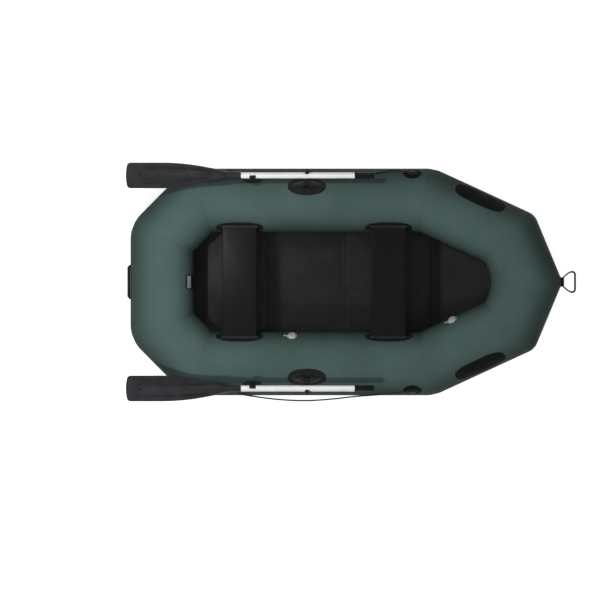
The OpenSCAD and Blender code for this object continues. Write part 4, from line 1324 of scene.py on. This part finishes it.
# ---------------------------------------------------------------- floor and light
def make_stage():
    """A plain pale floor that shows white to the camera but for the object's own soft shadow."""
    made = bpy.data.materials.new("Pale floor")
    made.use_nodes = True
    nodes, link = made.node_tree.nodes, made.node_tree.links.new
    nodes.clear()
    pale = node(nodes, "ShaderNodeBsdfDiffuse", values={"Color": (0.5, 0.5, 0.5, 1)})
    glow = node(nodes, "ShaderNodeEmission", values={"Strength": 0.88})
    rays = node(nodes, "ShaderNodeLightPath")
    both = node(nodes, "ShaderNodeMixShader")
    lit = node(nodes, "ShaderNodeAddShader")
    out = node(nodes, "ShaderNodeOutputMaterial")
    seen = worked(nodes, link, "MAXIMUM", rays.outputs["Is Camera Ray"],
                  rays.outputs["Is Glossy Ray"])
    seen = worked(nodes, link, "MAXIMUM", seen, rays.outputs["Is Transmission Ray"])
    link(pale.outputs[0], lit.inputs[0])
    link(glow.outputs[0], lit.inputs[1])
    link(seen, both.inputs[0])
    link(pale.outputs[0], both.inputs[1])
    link(lit.outputs[0], both.inputs[2])
    link(both.outputs[0], out.inputs["Surface"])
    mesh = bpy.data.meshes.new("floor")
    size = 30
    mesh.from_pydata([(-size, -size, 0), (size, -size, 0), (size, size, 0), (-size, size, 0)], [],
                     [(0, 1, 2, 3)])
    mesh.materials.append(made)
    floor = bpy.data.objects.new("floor", mesh)
    bpy.context.scene.collection.objects.link(floor)


def lamp(name, place, target, size, power, in_gloss=False):
    """A square soft box that faces a point; in_gloss says whether shiny finishes show it."""
    data = bpy.data.lights.new(name, "AREA")
    data.shape = "SQUARE"
    data.size = size
    data.energy = power
    obj = bpy.data.objects.new(name, data)
    obj.visible_glossy = in_gloss
    obj.location = place
    obj.rotation_euler = (Vector(place) - Vector(target)).to_track_quat("Z", "Y").to_euler()
    bpy.context.scene.collection.objects.link(obj)


def make_light():
    """A large box overhead, a small one off each quarter, a soft one ahead, and a faint low one."""
    lamp("overhead box", (-0.1, 0.0, 5.0), (0, 0, 0), 2.0, 58)
    lamp("bow box", (2.6, -0.6, 3.2), (0.9, -0.1, 0), 1.2, 22)
    lamp("port quarter box", (-1.98, 1.63, 3.5), (0, 0, 0), 0.25, 60)
    lamp("starboard quarter box", (-1.98, -2.5, 3.5), (0, 0, 0), 0.25, 74)
    lamp("low box", (-1.1, 0.3, 1.4), (-0.95, 0.15, 0), 0.55, 2.4, in_gloss=True)
    world = bpy.data.worlds.new("studio")
    bpy.context.scene.world = world
    world.use_nodes = True
    nodes, link = world.node_tree.nodes, world.node_tree.links.new
    nodes.clear()
    rays = node(nodes, "ShaderNodeLightPath")
    fill = node(nodes, "ShaderNodeBackground", values={"Color": (0.07, 0.07, 0.07, 1)})
    white = node(nodes, "ShaderNodeBackground", values={"Color": (1, 1, 1, 1)})
    both = node(nodes, "ShaderNodeMixShader")
    out = node(nodes, "ShaderNodeOutputWorld")
    link(rays.outputs["Is Camera Ray"], both.inputs[0])
    link(fill.outputs[0], both.inputs[1])
    link(white.outputs[0], both.inputs[2])
    link(both.outputs[0], out.inputs["Surface"])


make_stage()
make_light()
bpy.context.scene.view_settings.view_transform = "Standard"
